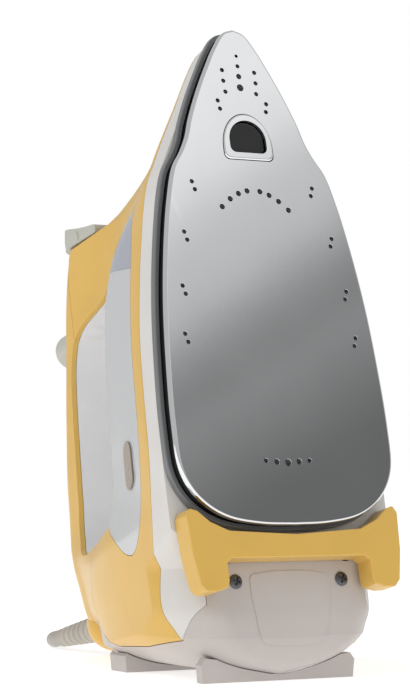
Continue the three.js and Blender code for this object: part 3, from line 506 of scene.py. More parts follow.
# ---------- the iron's skin ----------
# Place along the sole, skirt half width, then [half width, depth] of shoulder, neck and brow, and the crown.
SLICES = [
    (-95, 55.0, (49.0, 80), (40.0, 108), (22.0, 140), 158),
    (-50, 56.0, (50.0, 83), (42.0, 113), (25.0, 146), 166),
    (-36, 56.3, (50.0, 85), (42.0, 118), (26.0, 153), 174),
    (-22, 56.5, (50.0, 85), (41.0, 118), (26.0, 157), 179),
    (-10, 56.6, (48.0, 82), (37.0, 118), (24.0, 165), 183.5),
    (0, 56.6, (46.5, 80), (30.0, 118), (22.0, 170), 186),
    (20, 56.4, (45.5, 78), (26.0, 118), (20.6, 170.5), 185.5),
    (60, 54.6, (45.2, 75.5), (24.0, 115), (20.0, 165), 179.5),
    (90, 51.2, (44.0, 71), (22.0, 112), (19.6, 159), 173),
    (110, 47.8, (41.5, 65), (19.6, 108), (19.5, 155), 168),
    (124, 45.0, (38.0, 57), (19.2, 100), (19.4, 151), 164.5),
    (136, 41.5, (33.5, 48), (19.0, 94), (19.0, 147), 160.5),
    (143.5, 37.7, (31.0, 45), (18.8, 88), (18.6, 144), 157.5),
    (144.5, 37.2, (30.4, 44.5), (18.6, 82), (17.5, 105), 120),
    (150, 34.5, (28.0, 42), (18.2, 66), (14.5, 90), 103.5),
    (160, 29.2, (23.8, 38), (16.8, 54), (11.5, 71), 83),
    (176, 20.4, (17.2, 33.5), (13.0, 43), (8.6, 53.5), 62.5),
    (190, 13.0, (11.0, 30.5), (8.4, 36), (5.6, 42), 47),
    (200, 6.8, (5.8, 28), (4.4, 31), (3.0, 33.5), 35.5),
    (NOSE, 1.6, (1.3, 26.8), (1.0, 27.4), (0.8, 27.9), 28.4),
]
SLICE_PLACES = [row[0] for row in SLICES]
SHOULDER_STEP = 27


def slice_at(along, inset):
    def at(pick):
        return smooth_value(SLICE_PLACES, [pick(row) for row in SLICES], along)

    def shrunk(value):
        return max(value - inset, 0.3)

    skirt = shrunk(at(lambda row: row[1]))
    shoulder, neck, brow = (
        (shrunk(at(lambda row, k=k: row[k][0])), at(lambda row, k=k: row[k][1])) for k in (2, 3, 4)
    )
    return skirt, shoulder, neck, (brow[0], brow[1] - inset / 2), at(lambda row: row[5]) - inset


def crown_at(along):
    return slice_at(along, 0)[4]


def slice_outline(along, inset, foot):
    """One slice across the iron as a closed outline [across, depth]."""
    skirt, shoulder, neck, brow, crown = slice_at(along, inset)
    flank = smooth_line([(skirt, SHOULDER_STEP - 1), shoulder, neck, brow], 8)
    dome = []
    for degrees in range(8, 90, 8):
        angle = math.radians(degrees)
        dome.append((brow[0] * math.cos(angle), brow[1] + (crown - brow[1]) * math.sin(angle)))
    right = [(skirt, foot), *flank, *dome]
    left = [(-x, y) for x, y in reversed(right)]
    return [*right, (0, crown), *left]


def skin_cuts(highest):
    cuts = [-95, -75, *range(-58, 144, 3), 143.5, 144.5, *range(147, 205, 3), NOSE]
    return [along for along in cuts if along <= highest]


def skin(inset, foot, highest=NOSE):
    return loft([(z, slice_outline(z, inset, foot)) for z in skin_cuts(highest)])


BELLY = {"height": 2.6, "roll": 29, "side_reach": 50, "end_reach": 22, "half_width": 57, "rear": 105}
ROUND_CORNER = (25, 48)
SQUARE_CORNER = (9, 9)
CORNER_FROM, CORNER_TO = 50, 64  # the heights between which the front corners change
LEDGE = 20


def corner(x, y, rx, ry, start):
    """A quarter of an ellipse."""
    return [(x + rx * c, y + ry * s) for c, s in arc((0, 0), 1, start, start + 90, 12)]


def level_rectangle(z, rear, side_inset, end_inset=None):
    """A rounded rectangle level with the table, from the skirt's face to the rear."""
    end_inset = side_inset if end_inset is None else end_inset
    front = (SKIRT_FACE - (DATUM_HEIGHT - z) * math.sin(LEAN)) / math.cos(LEAN) + end_inset
    side = BELLY["half_width"] - side_inset
    blend = min(max((z - CORNER_FROM) / (CORNER_TO - CORNER_FROM), 0), 1)
    wide, deep = (r + (s - r) * blend for r, s in zip(ROUND_CORNER, SQUARE_CORNER))
    wide, small = min(wide, side), min(SQUARE_CORNER[0], side)
    back = rear - end_inset - small
    return [
        *corner(side - small, back, small, small, 0),
        *corner(-side + small, back, small, small, 90),
        *corner(-side + wide, front + deep, wide, deep, 180),
        *corner(side - wide, front + deep, wide, deep, 270),
    ]


def belly(shell):
    """The space above the rounded belly: level slices that narrow towards the table."""
    sections = []

    def roll_at(degrees):
        angle = math.radians(degrees)
        side, end = (shell + BELLY[reach] * (1 - math.sin(angle)) for reach in ("side_reach", "end_reach"))
        return BELLY["height"] + shell + BELLY["roll"] * (1 - math.cos(angle)), side, end

    ledge = LEDGE + shell
    for degrees in range(2, 66, 4):
        z, side, end = roll_at(degrees)
        if z < ledge - 1:
            sections.append((z, level_rectangle(z, BELLY["rear"], side, end)))
    _, side, end = roll_at(66.5)
    sections.append((ledge, level_rectangle(ledge, BELLY["rear"], side, end)))
    sections.append((ledge + 0.1, level_rectangle(ledge, 240, side, end)))
    for degrees in (72, 78, 84, 90):
        z, side, end = roll_at(degrees)
        sections.append((z + 2, level_rectangle(z + 2, 250, side, end)))
    for height in range(CORNER_FROM - 8, CORNER_TO + 1, 2):
        sections.append((height, level_rectangle(height, 256, shell)))
    sections.append((CORNER_TO + 6, level_rectangle(CORNER_TO, 260, shell - 3)))
    sections.append((330, level_rectangle(330, 300, shell - 90)))
    mesh = loft(sections)
    mesh.transform(Matrix.Rotation(LEAN, 4, "X") @ Matrix.Translation((0, 0, -DATUM_HEIGHT)))
    return mesh


# ---------- seams and openings, in side view [depth, along] ----------
SKIRT_SEAM = [(26, 215), (23, 126), (23.5, 60), (23.5, 11), (27, -15), (31, -35), (34, -55), (31, -72.5)]
COVER_SEAM = [(-10, -58), (13, -58), (31, -72.5), (60, -70), (91, -64.5), (106, -57), (117, -49), (125, -47)]
OPENING = [(96, 124), (102, 125), (116, 112), (129, 107.5), (143, 103), (151, 97), (156, 86), (158.5, 70),
           (160, 45), (161, 20), (160, 2), (154, -8), (140, -12), (118, -12.5), (84, -10.5), (60, -10.5),
           (60, 124)]
WINDOW = [(48, 136.5), (57, 124), (65, 109), (71, 90), (75.2, 60), (77.8, 20), (80, 0), (84, -10),
          (74, -18), (60, -28), (52, -29), (43.5, -21), (36.5, 4), (34, 26), (34.3, 51), (34.5, 81),
          (35, 106), (39, 124)]
TOP_SHELL = [(117, -130), (117, 92), (150.5, 99), (150.5, 131), (152, 143.2), (250, 143.2), (250, -130)]
COVER_TOP = -38
COVER_HALF = 41


def above_saddle(drop):
    """The space above the arched saddle under the handle."""
    rows = [(-30, 110, 0.0118), (-10, 109, 0.0117), (20, 107, 0.014), (60, 104.5, 0.0142),
            (90, 101.5, 0.0157), (110, 100, 0.0203), (135, 99, 0.024)]
    places = [row[0] for row in rows]
    sections = []
    for z in range(-30, 136, 5):
        height = smooth_value(places, [row[1] for row in rows], z)
        bow = smooth_value(places, [row[2] for row in rows], z)
        arch = [(x, max(height - drop - bow * x * x, 5)) for x in range(-72, 73, 4)]
        sections.append((z, [*arch, (72, 240), (-72, 240)]))
    return loft(sections)


def left_of(line, shift):
    shifted = [(a + shift, b) for a, b in line]
    return across_extrude([(-30, line[0][1]), *shifted, (-30, line[-1][1])])


def slab(start, end):
    return box((200, end - start, 420), (0, (start + end) / 2, 60))


def cover_region(grow):
    seam = [(a, b + grow) for a, b in COVER_SEAM]
    below = across_extrude([*seam, (125 + grow, -130), (-10, -130)])
    height = COVER_TOP + 60 + grow
    return joined(below, box((2 * (COVER_HALF + grow), 8, height), (0, 14, -60 + height / 2)))


def lens_region(grow):
    return across_extrude([(150 - grow, 142.8 + grow), (250, 142.8 + grow), (250, 131 - grow),
                           (152 - grow, 131 - grow)])


def top_region(grow):
    return across_extrude([(a - grow, b) for a, b in TOP_SHELL])


def flowing(points, straight):
    """Smooths an outline but keeps its last corners, which lie in the open, straight."""
    free = smooth_line(points[: len(points) - straight], 6)
    return [*free, *points[len(points) - straight:]]


FLOWING_OPENING = flowing(OPENING, 2)
FLOWING_WINDOW = smooth_line(WINDOW, 5, closed=True)
FLOWING_SEAM = smooth_line(SKIRT_SEAM, 6)


def window_block(grow):
    return across_extrude(offset_outline(FLOWING_WINDOW, grow))


# ---------- the sole's outline, [across, along] ----------
SOLE_HALF = [(0, 205), (5.5, 203), (11.5, 195), (16, 187), (22.6, 174), (28.6, 160), (31.6, 151), (35.2, 144),
             (40, 136.5), (44.6, 121), (48.8, 100), (52.6, 73), (54.8, 45), (55.8, 18), (54.8, -2),
             (50.4, -12), (43, -19.5), (33, -24.6), (17, -27.4), (0, -28)]


def sole_outline(inset, steps=6):
    right = smooth_line(SOLE_HALF, steps)
    full = [*right, *[(-x, z) for x, z in reversed(right[1:-1])]]
    moved = offset_outline(full, -inset)
    middle = len(right) - 1
    return [(0, z) if i in (0, middle) else (x, z) for i, (x, z) in enumerate(moved)]


def sole_hole(inset):
    return depth_extrude(sole_outline(inset), -5, 40)


# ---------- shells ----------
POST_RADIUS = 4
POST_ACROSS, POST_ALONG = 31, -38


def post_holes():
    radius = POST_RADIUS + 0.5
    return [depth_cylinder(radius, side * POST_ACROSS, POST_ALONG, 0, 40) for side in (-1, 1)]


def fill_bore():
    """The slanted hole from the door down into the tank."""
    start, end = Vector((0, 52, 121)), Vector((0, 128, 143.6))
    mesh = lathe([(0, -5), (6.3, -5), (6.3, (end - start).length), (0, (end - start).length)], 40)
    turn = (end - start).to_track_quat("Z", "X").to_matrix().to_4x4()
    mesh.transform(Matrix.Translation(start) @ turn)
    return mesh


EAR = {"across": 8, "width": 4, "radius": 1.8, "web": 5}
PIN_HOLE = 1  # radius


def hinge_ears():
    ears = []
    for side in (-1, 1):
        lobe = across_cylinder(EAR["radius"], EAR["width"], *DOOR_PIN)
        web = box((EAR["width"], 2 * EAR["radius"], EAR["web"]),
                  (0, DOOR_PIN[0], DOOR_PIN[1] - EAR["web"] / 2))
        ear = joined(lobe, web)
        ear.transform(Matrix.Translation((side * EAR["across"], 0, 0)))
        ears.append(ear)
    return [cut(ear, across_cylinder(PIN_HOLE, 60, *DOOR_PIN)) for ear in ears]


def make_shells():
    outer = common(skin(0, SKIRT_FACE), belly(0))
    ledge = box((60, 90, 12), (0, 157, 147))
    cavity = cut(common(skin(WALL, -5, 196), belly(WALL)), ledge)
    closed_cavity = common(skin(WALL, SKIRT_FACE + WALL, 196), belly(WALL))
    shell = cut(outer, cavity)
    opening = common(across_extrude(FLOWING_OPENING), above_saddle(WALL + GAP))

    skirt_wall = common(shell, left_of(FLOWING_SEAM, -GAP / 2))
    flange = cut(common(outer, slab(SKIRT_FACE, SKIRT_FACE + WALL)), sole_hole(3.5))
    skirt = cut(joined(skirt_wall, flange), cover_region(GAP), *post_holes())
    add_piece("skirt_shell", skirt, "iron", WHITE, "lower_skirt")

    body = cut(shell, left_of(FLOWING_SEAM, GAP / 2), cover_region(GAP), top_region(0), lens_region(GAP),
               opening, window_block(GAP), fill_bore())
    add_piece("body_cover", joined(body, *hinge_ears()), "iron", SAND, "body_shell")

    top_bounds = across_extrude([(100, -130), (100, 143.2), (260, 143.2), (260, -130)])
    handle = cut(common(shell, top_region(-GAP), top_bounds), opening, cover_region(GAP), lens_region(GAP),
                 depth_cylinder(3, 0, DIAL_ALONG, 150, 200), button_bore(), swivel_room())
    add_piece("handle_cover", handle, "iron", SAND, "handle_shell")

    liner_ring = cut(across_extrude(offset_outline(FLOWING_OPENING, 3)), across_extrude(FLOWING_OPENING))
    liner = common(liner_ring, skin(WALL + GAP, 20, 196), above_saddle(-GAP))
    add_piece("handle_lining", cut(liner, fill_bore()), "iron", LINER, "handle_liner")

    sheet = common(cut(above_saddle(WALL), above_saddle(0)), outer)
    saddle = cut(common(sheet, across_extrude(offset_outline(FLOWING_OPENING, -GAP))), window_block(GAP))
    add_piece("saddle_top", saddle, "iron", LINER, "saddle_cover")

    tank = common(outer, window_block(0))
    chamber = common(skin(WALL, 15, 196), window_block(-WALL))
    add_piece("tank_window", cut(tank, chamber, fill_bore()), "iron", TANK, "water_tank")
    add_piece("lens_window", common(shell, lens_region(0)), "iron", LENS, "indicator_lens")

    cover = cut(common(outer, cover_region(0)), closed_cavity, *post_holes())
    add_piece("heel_shell", cover, "iron", COVER, "heel_cover")


# ---------- handle fittings ----------
DIAL_ALONG = 103.7
BUTTON_ALONG = 66
SWIVEL = (174, -40)
SWIVEL_RADIUS = 13.6


def button_outline(grow):
    half, straight = 6 + grow, 4
    top = arc((0, BUTTON_ALONG + straight), half, 0, 180, 20)
    bottom = arc((0, BUTTON_ALONG - straight), half, 180, 360, 20)
    return [*top, *bottom]


def button_bore():
    return depth_extrude(button_outline(GAP), 172, 200)


def half_circle(radius, step):
    """A ball's profile, with a point every so many degrees."""
    angles = [math.radians(degrees) for degrees in range(step, 180, step)]
    rim = [(radius * math.sin(angle), -radius * math.cos(angle)) for angle in angles]
    return [(0, -radius), *rim, (0, radius)]


def swivel_ball(radius):
    """A ball at the swivel, a little wider than it is deep."""
    mesh = lathe(half_circle(radius, 5))
    mesh.transform(Matrix.Translation((0, *SWIVEL)) @ Matrix.Diagonal((1.15, 1, 1, 1)))
    return mesh


def swivel_room():
    return swivel_ball(SWIVEL_RADIUS + 0.4)


DOOR_PIN = (121.5, 146.9)
CAP = [*arc(DOOR_PIN, 2.3, 270, 100, 6), (126, 149.9), (136, 151.9), (150, 155.2), (157, 155), (161.6, 151.5),
       (163, 147.5), (162, 143.6), (150, 142.6), (127, 142.9)]


def drop_outline(centre, size):
    """A water drop, point towards the nose."""
    a0, b0 = centre
    points = []
    for k in range(36):
        t = 2 * math.pi * k / 36
        points.append((a0 + size * 0.62 * math.sin(t) * math.sin(t / 2) ** 1.5, b0 + size * math.cos(t)))
    return points


def make_fill_door():
    def bound(inset):
        rows = [(138, inset), (150, inset), (156, inset + 0.6), (160, inset + 1.6), (163, inset + 3)]
        return loft([(z, slice_outline(134, grow, SKIRT_FACE)) for z, grow in rows])

    hood = common(across_extrude(smooth_line(CAP, 6, closed=True)), bound(0))
    hollow = [(127, 130), (127, 147.8), (137, 149.8), (150, 152.8), (156, 151), (157, 130)]
    inside = common(across_extrude(hollow), bound(2.2))
    slots = [box((5.2, 20, 14), (side * EAR["across"], DOOR_PIN[0] - 7.9, DOOR_PIN[1] - 4.9))
             for side in (-1, 1)]
    pin_hole = across_cylinder(PIN_HOLE, 30.6, *DOOR_PIN)
    floor = box((80, 70, 20), (0, 145, 134.8))
    grown = common(skin(-GAP, SKIRT_FACE - GAP), belly(-GAP))
    door = cut(hood, inside, pin_hole, *slots, floor, grown)
    raised = common(across_extrude(drop_outline((137, 148.4), 2.4)), bound(-0.5))
    door = joined(door, cut(raised, bound(0.4)))
    add_piece("water_cap", door, "door", SOFT_GREY, "fill_door")


def make_dial():
    """A smooth knob with a finger hollow in its top and a fine pointer ridge."""
    radius, top = 9, 194.5
    base = crown_at(DIAL_ALONG - radius) + GAP
    profile = [(0, base - 13), (2.4, base - 13), (2.4, base), (radius - 0.6, base), (radius, base + 0.6)]
    profile += [(radius - 3 + r, top - 3.5 + h) for r, h in arc((0, 0), 3, 0, 84, 10)]
    profile += [(3, top - 0.9), (0, top - 1.2)]
    knob = depth_lathe(profile, 0, DIAL_ALONG, 72)
    pointer = box((1.2, 1.6, 4.5), (0, top - 0.9, DIAL_ALONG + 4.2))
    add_piece("dial_knob", joined(knob, pointer), "dial", SOFT_GREY, "temperature_dial")


def make_button():
    crown = crown_at(BUTTON_ALONG)
    cap = depth_extrude(button_outline(0), crown - 3.4, crown + 2.2)
    bowl = [(0, crown + 1.3), (3.6, crown + 2.0), (4.4, crown + 6), (0, crown + 6)]
    dish = depth_lathe(bowl, 0, BUTTON_ALONG)
    stem = depth_cylinder(2, 0, BUTTON_ALONG, crown - 8.2, crown - 3)
    button = joined(cut(cap, dish), stem)
    add_piece("steam_key", button, "button", SOFT_GREY, "steam_button", bevel=0.4)


def make_badge(name, side, node):
    band = cut(skin(-0.9, SKIRT_FACE), skin(-GAP, SKIRT_FACE - 1))
    corners = [(45.2, 3), (48, 0.2), (51.5, -0.3), (54, 2.4), (54.4, 10), (54.4, 18), (51.8, 21.2),
               (48.5, 21.4), (45.6, 18.6), (45.2, 10)]
    start, end = sorted((20 * side, 90 * side))
    plate = common(band, across_extrude(smooth_line(corners, 5, closed=True), start, end))
    add_piece(name, plate, "iron", BADGE, node)


# ---------- sole ----------
FOOT = {"along": 151.8, "half": 12.9, "bottom": -10.4, "top": 11.6, "ring": 3.2}


def d_shape(inset):
    half = FOOT["half"] - inset
    low = FOOT["along"] + FOOT["bottom"] + inset
    high = FOOT["along"] + FOOT["top"] - inset
    middle = low + 6
    corner = min(3.0, half / 3)
    lower = [*arc((-half + corner, low + corner), corner, 180, 270, 6),
             *arc((half - corner, low + corner), corner, 270, 360, 6)]
    upper = []
    for degrees in range(0, 181, 6):
        angle = math.radians(degrees)
        upper.append((half * math.cos(angle), middle + (high - middle) * math.sin(angle)))
    return [*lower, *upper]


def steam_holes():
    small = 1.05
    holes = [(0, 192, 0.8), (0, 187, 1.0), (0, 182, 1.3), (0, 176.5, 1.7), (0, 0, 1.6)]
    mirrored = [(8.6, 184.5, small), (8.6, 179.3, small), (8.2, 174, small), (12.9, 169.4, small),
                (12.2, 165.5, small), (5.8, 0.4, 1.3), (11.3, 0.9, small)]
    mirrored += [(x, 126.8 - 0.0278 * x * x, 1.3) for x in (3.4, 8.1, 12.8, 17.5)]
    for x, z in ((31.8, 129.5), (38.9, 105.5), (43, 80.3), (44.6, 58.2)):
        mirrored += [(x, z, small), (x - 1.1, z - 3.7, small)]
    for x, z, radius in mirrored:
        holes += [(x, z, radius), (-x, z, radius)]
    return holes


def rounded_plate(outline_at, front, back, radius, steps=5):
    """A plate whose front edge is rounded; outline_at(inset) gives its outline."""
    stack = []
    for k in range(steps + 1):
        angle = math.radians(90 * k / steps)
        depth = front + radius * (1 - math.cos(angle))
        stack.append((depth, counterclockwise(outline_at(radius * (1 - math.sin(angle))))))
    stack.append((back, counterclockwise(outline_at(0))))
    mesh = loft(stack)
    mesh.transform(INWARD)
    mesh.flip_normals()
    return mesh


def make_sole():
    plate = rounded_plate(sole_outline, 0, PLATE, 1.1)
    beyond = PLATE + 1
    drills = []
    for x, z, radius in steam_holes():
        profile = [(0, -1), (radius + 1.1, -1), (radius, 0.1), (radius, beyond), (0, beyond)]
        drills.append(depth_lathe(profile, x, z, 20))
    plate = cut(plate, depth_extrude(d_shape(-GAP), -1, beyond), *drills)
    add_piece("sole_face", plate, "iron", CHROME, "soleplate", sharp=40)

    ring = cut(rounded_plate(d_shape, -0.7, 14, 0.8), depth_extrude(d_shape(FOOT["ring"]), -2, 16))
    add_piece("foot_ring", ring, "iron", BRIGHT, "front_foot_bezel")

    pad = rounded_plate(lambda inset: d_shape(FOOT["ring"] + GAP + inset), 1, 13, 0.8)
    pad = joined(pad, depth_cylinder(3.5, 0, FOOT["along"], 12, 29))
    add_piece("front_foot_pad", pad, "lift", BLACK, "front_lift_foot")


def make_heel_panel():
    """The slightly raised panel in the middle of the heel cover's face."""
    corners = [(-20, -49.5), (-18, -47.5), (18, -47.5), (20, -49.5),
               (16.5, -76), (14, -78), (-14, -78), (-16.5, -76)]
    block = depth_extrude(smooth_line(corners, 3, closed=True), 5, 20)
    panel = cut(common(belly(-0.45), block), belly(0.5))
    add_piece("heel_panel", panel, "iron", COVER)


def make_heat_shield():
    """The black band behind the sole, and the dark trim outside it."""
    band = cut(depth_extrude(sole_outline(1.6), PLATE + GAP, SKIRT_FACE - GAP),
               depth_extrude(sole_outline(4.4), 0, 30))
    add_piece("shield_band", band, "iron", BLACK, "heat_shield")
    trim = cut(depth_extrude(sole_outline(-1.2), 8, SKIRT_FACE - GAP),
               depth_extrude(sole_outline(1.2), 0, 30))
    add_piece("shield_edge", trim, "iron", TRIM, "shield_trim", bevel=0.5)


# ---------- lift yoke ----------
def make_yoke():
    half = [(0, -32), (34, -30), (43, -26), (49, -21), (52.5, -20), (54.5, -23), (53.6, -40), (51.2, -53.5),
            (48.5, -56.5), (43, -56.5), (37.8, -55), (36.8, -52), (36.8, -44.2), (34.3, -42.2), (0, -42.2)]
    outline = [*half, *[(-x, z) for x, z in reversed(half[1:-1])]]
    hole = sole_hole(-3)
    yoke = cut(depth_extrude(outline, 0.5, 11.6), hole)
    posts = [depth_cylinder(POST_RADIUS, side * POST_ACROSS, POST_ALONG, 10.6, 27.7) for side in (-1, 1)]
    add_piece("yoke_frame", joined(yoke, *posts), "lift", SAND, "lift_yoke", bevel=1.0)


# ---------- heel ----------
def make_screw(name, u, v):
    head = depth_lathe([(0, 10.7), (1.6, 10.72), (2.6, 11.0), (3.2, 11.5), (3.2, 11.7), (0, 11.7)], u, v, 32)
    for turn in (20, 110):
        slot = box((4, 1.3, 0.9), (0, 0, 0))
        slot.transform(Matrix.Translation((u, 10.8, v)) @ Matrix.Rotation(math.radians(turn), 4, "Y"))
        head = cut(head, slot)
    add_piece(name.replace("screw", "fixing"), head, "iron", SCREW_STEEL, name)


def make_swivel():
    depth, along = SWIVEL
    hollow = depth_lathe([(r, depth + 3 + d) for r, d in half_circle(10, 6)], 0, along)
    mouth = depth_lathe([(0, depth + 7), (9, depth + 7), (11.5, depth + 23), (0, depth + 23)], 0, along)
    socket = cut(swivel_ball(SWIVEL_RADIUS), hollow, mouth)
    add_piece("swivel_ball", socket, "iron", SAND, "swivel_cover")


def make_strain_relief():
    """A swivelling ball and a tapered sleeve with six rounded ribs."""
    profile = [(0, -2), (5.4, -2), (7.4, -0.9), (8.6, 1), (9, 4), (8.6, 7), (7.6, 9), (6.4, 10.4), (5.9, 14)]
    for rib in range(6):
        start, radius = 20 + rib * 6, 6.6 - rib * 0.3
        profile += [(radius - 1.0, start), (radius - 0.2, start + 0.5), (radius, start + 1.2),
                    (radius, start + 3.8), (radius - 0.2, start + 4.5), (radius - 1.0, start + 5)]
    profile += [(4.7, 57), (4.7, 59.4), (4.2, 60), (0, 60)]
    mesh = lathe(profile, 48)
    tilt = Matrix.Rotation(math.radians(3.5), 4, "X")
    mesh.transform(Matrix.Translation((0, *SWIVEL)) @ tilt @ FACING_IN)
    add_piece("cord_sleeve", mesh, "cord_guard", RELIEF, "strain_relief", sharp=50)


def make_heel_foot(name, node, y, half, thickness, height):
    outline = [(-half, 0), (half, 0), (half + 0.8, height - 3), (half - 1.5, height), (half - 9, height - 1),
               (-half + 9, height - 1), (-half + 1.5, height), (-half - 0.8, height - 3)]
    mesh = extrude(outline, 0, thickness, Matrix.Identity(4))
    mesh.transform(Matrix.Rotation(LEAN, 4, "X") @ Matrix.Translation((0, y + thickness, -DATUM_HEIGHT))
                   @ Matrix.Rotation(math.radians(90), 4, "X"))
    grown = common(skin(-GAP, SKIRT_FACE - GAP), belly(-GAP))
    add_piece(name, cut(mesh, grown), "iron", COVER, node, bevel=0.5)


# ---------- cord, in the row frame ----------
CORD = 7.5
COIL = (90, 118)
CORD_ROUTE = [(0, 116.4, 5.9), (1.4, 128.2, 4.4), (5.6, 138.3, 3.95), (12.3, 147, 3.95), (21, 153.7, 3.95),
              (31.1, 157.9, 3.95), (43.5, 160.2, 3.95), (52.2, 161.8, 3.95)]
PLUG_ROUTE = [(147.6, 121, 3.95), (145.9, 103, 3.95), (140.2, 89, 3.95), (131, 77, 3.95),
              (119, 67.4, 4.4), (107.5, 60.7, 6.2), (95.9, 54, 8.6), (90.7, 49.6, 10), (87.2, 43.7, 11.2),
              (86, 37.6, 11.6)]
PLUG = (86, 36.7, 11.6)
# The coil's turns: angle in degrees, radius and height where each change begins and ends.
COIL_TURNS = [(260, 49, 3.95), (420, 49, 3.95), (460, 41, 3.95), (780, 41, 3.95), (820, 33, 3.95),
              (1100, 33, 3.95), (1140, 33, 11.6), (1420, 33, 11.6), (1460, 41, 11.6), (1780, 41, 11.6),
              (1820, 49, 11.6), (2100, 49, 11.6), (2140, 49, 19.3), (2415, 49, 19.3), (2430, 52.2, 18.6),
              (2442, 55, 16.2), (2453, 56.9, 12.5), (2470, 57.4, 7.6), (2488, 57.4, 4.6), (2505, 57.4, 3.95)]


def ease(t):
    return t * t * (3 - 2 * t)


def coil_points():
    points = []
    for (a0, r0, z0), (a1, r1, z1) in zip(COIL_TURNS, COIL_TURNS[1:]):
        steps = max(1, round((a1 - a0) / 10))
        soften = ease if steps > 2 else (lambda t: t)
        for k in range(steps):
            t = k / steps
            angle = math.radians(a0 + (a1 - a0) * t)
            radius, z = r0 + (r1 - r0) * soften(t), z0 + (z1 - z0) * soften(t)
            points.append((COIL[0] + radius * math.cos(angle), COIL[1] - radius * math.sin(angle), z))
    return points


def make_cord():
    route = smooth_line([*CORD_ROUTE, *coil_points(), *PLUG_ROUTE], 3)
    points = [Vector(p) * MM for p in route]
    length = sum((b - a).length for a, b in zip(points, points[1:]))
    curve = bpy.data.curves.new("mains_lead", "CURVE")
    curve.dimensions = "3D"
    curve.bevel_depth = CORD / 2 * MM
    curve.bevel_resolution = 6
    curve.use_fill_caps = True
    spline = curve.splines.new("POLY")
    spline.points.add(len(points) - 1)
    for target, point in zip(spline.points, points):
        target.co = (*point, 1)
    spline.use_smooth = True
    curve.materials.append(JACKET)
    lead = bpy.data.objects.new("mains_lead", curve)
    scene.collection.objects.link(lead)
    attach(lead, "iron")
    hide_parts("cord_run", "cord_coil", "plug_cord")
    return lead, points[0], length


def make_plug():
    """A moulded plug: flexible tail with rings, flared grip and a flat face."""
    profile = [(0, 0), (4.4, 0), (4.9, 0.5)]
    for ring in range(3):
        start = 2 + ring * 2.6
        profile += [(4.9, start), (5.5, start + 0.4), (5.5, start + 1.4), (4.9, start + 1.8)]
    profile += [(5.6, 10.4), (7.4, 12), (9.4, 14), (10.6, 17), (11, 20), (11, 24), (10.7, 25), (10.7, 28),
                (11, 29), (11, 32.6), (10.4, 33.6), (9.4, 34), (0, 34)]
    body = lathe(profile, 56)
    place = Matrix.Scale(MM, 4) @ Matrix.Translation(PLUG) @ Matrix.Rotation(math.pi, 4, "Z") @ FACING_IN
    return add_piece("moulded_plug", body, "iron", JACKET, "plug_body", sharp=45, place=place)


def make_tie():
    """A hook-and-loop strap round one side of the coil, open underneath."""
    near, far, top, bottom = 28, 53.3, 23.7, 1
    bend, thick, width = 2, 1.6, 12
    left, right = (near + bend, top - bend), (far - bend, top - bend)
    inner = [(near, bottom), *arc(left, bend, 180, 90, 5), *arc(right, bend, 90, 0, 5), (far, bottom)]
    outer = [(far + thick, bottom), *arc(right, bend + thick, 0, 90, 5),
             *arc(left, bend + thick, 90, 180, 5), (near - thick, bottom)]
    band = extrude([*inner, *outer], 0, width, Matrix.Identity(4))
    place = (Matrix.Scale(MM, 4) @ Matrix.Translation((*COIL, 0)) @ Matrix.Rotation(-2.3, 4, "Z")
             @ Matrix.Translation((0, width / 2, 0)) @ Matrix.Rotation(math.radians(90), 4, "X"))
    return add_piece("coil_strap", band, "iron", STRAP, "coil_tie", place=place)


# ---------- stage ----------
def make_floor():
    mesh = mesh_of([(-6, -6, 0), (6, -6, 0), (6, 6, 0), (-6, 6, 0)], [(0, 1, 2, 3)])
    m = Nodes("studio_floor")
    m.link(m.colours(m.noise(3), [(0.0, (0.93, 0.93, 0.93)), (1.0, (0.95, 0.95, 0.95))]),
           m.shader.inputs["Base Color"])
    m.set(Roughness=0.9, Specular_IOR_Level=0.1, Emission_Strength=0.5, Emission_Color=(1, 1, 1, 1))
    mesh.materials.append(m.material)
    floor = bpy.data.objects.new("studio_floor", mesh)
    scene.collection.objects.link(floor)


# The graded card that the sole mirrors: its brightness from its upper edge down, the direction of its
# middle from the sole as the main view sees it, and the direction along which its brightness falls.
CARD_STOPS = [(0.0, 1.0), (0.18, 0.9), (0.27, 0.72), (0.32, 0.65), (0.46, 0.62), (0.54, 0.41), (0.61, 0.29),
              (0.705, 0.24), (0.72, 0.33), (0.86, 0.24), (1.0, 0.16)]
CARD_CENTRE = (0.4996, -0.7514, 0.4311)
CARD_DOWN = (0.598, -0.190, -1.025)
STUDIO_LIGHT = 0.55


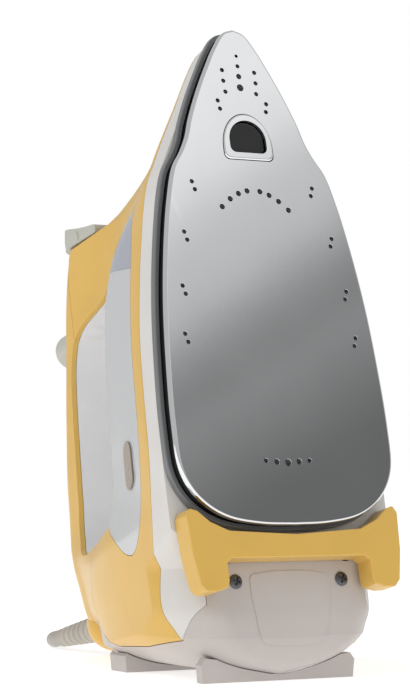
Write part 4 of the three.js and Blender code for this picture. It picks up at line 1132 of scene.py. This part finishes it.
def make_world():
    """A pale studio, with a graded card in the direction that the sole mirrors."""
    world = bpy.data.worlds.new("studio")
    world.use_nodes = True
    scene.world = world
    tree = world.node_tree
    new, link = tree.nodes.new, tree.links.new
    direction = new("ShaderNodeTexCoord").outputs["Generated"]

    def along(axis, low, high):
        """How far the direction points along an axis, from 0 at low to 1 at high."""
        dot = new("ShaderNodeVectorMath")
        dot.operation = "DOT_PRODUCT"
        dot.inputs[1].default_value = axis
        link(direction, dot.inputs[0])
        span = new("ShaderNodeMapRange")
        span.inputs["From Min"].default_value = low
        span.inputs["From Max"].default_value = high
        link(dot.outputs["Value"], span.inputs["Value"])
        return span.outputs["Result"]

    ramp = new("ShaderNodeValToRGB")
    elements = ramp.color_ramp.elements
    while len(elements) < len(CARD_STOPS):
        elements.new(0.5)
    for element, (place, value) in zip(elements, CARD_STOPS):
        element.position = place
        element.color = (value, value, value, 1)
    link(along(CARD_DOWN, -0.1, 0.07), ramp.inputs["Fac"])
    card = tree.nodes["Background"]
    link(ramp.outputs["Color"], card.inputs["Color"])
    studio, plain = new("ShaderNodeBackground"), new("ShaderNodeBackground")
    studio.inputs["Strength"].default_value = STUDIO_LIGHT
    for white in (studio, plain):
        white.inputs["Color"].default_value = (1, 1, 1, 1)
    seen, lit = new("ShaderNodeMixShader"), new("ShaderNodeMixShader")
    link(along(CARD_CENTRE, 0.955, 0.975), lit.inputs["Fac"])
    link(studio.outputs["Background"], lit.inputs[1])
    link(card.outputs["Background"], lit.inputs[2])
    link(new("ShaderNodeLightPath").outputs["Is Camera Ray"], seen.inputs["Fac"])
    link(lit.outputs["Shader"], seen.inputs[1])
    link(plain.outputs["Background"], seen.inputs[2])
    link(seen.outputs["Shader"], tree.nodes["World Output"].inputs["Surface"])


def make_light(name, place, target, size, power):
    data = bpy.data.lights.new(name, "AREA")
    data.shape = "RECTANGLE"
    data.size, data.size_y = size
    data.energy = power
    light = bpy.data.objects.new(name, data)
    light.location = place
    light.visible_glossy = False
    light.rotation_euler = (Vector(target) - Vector(place)).to_track_quat("-Z", "Y").to_euler()
    scene.collection.objects.link(light)


def make_stage():
    make_floor()
    make_world()
    make_light("key", (-1.6, -0.9, 1.5), (0, 0, 0.15), (1.2, 1.2), 8)
    make_light("fill", (0.3, -2.2, 0.9), (0, 0, 0.15), (1.6, 1.0), 3)
    make_light("back", (-0.8, 1.6, 1.3), (0, 0, 0.15), (1.6, 1.2), 6)


# ---------- the whole iron ----------
make_camera()
lead, lead_start, lead_length = make_cord()
plug = make_plug()
strap = make_tie()

dress_cad_nodes()
make_shells()
make_fill_door()
make_dial()
make_button()
make_badge("badge_left", -1, "left_badge")
make_badge("badge_right", 1, "right_badge")
make_sole()
make_heel_panel()
make_heat_shield()
make_yoke()
make_swivel()
make_strain_relief()
make_screw("heel_screw_left", -27.4, -50.5)
make_screw("heel_screw_right", 27.4, -50.5)
make_heel_foot("heel_pad_front", "front_heel_foot", 8, 39, 5, 11)
make_heel_foot("heel_pad_rear", "rear_heel_foot", 78, 39, 15, 10.5)
make_stage()

scene.view_settings.view_transform = "Standard"
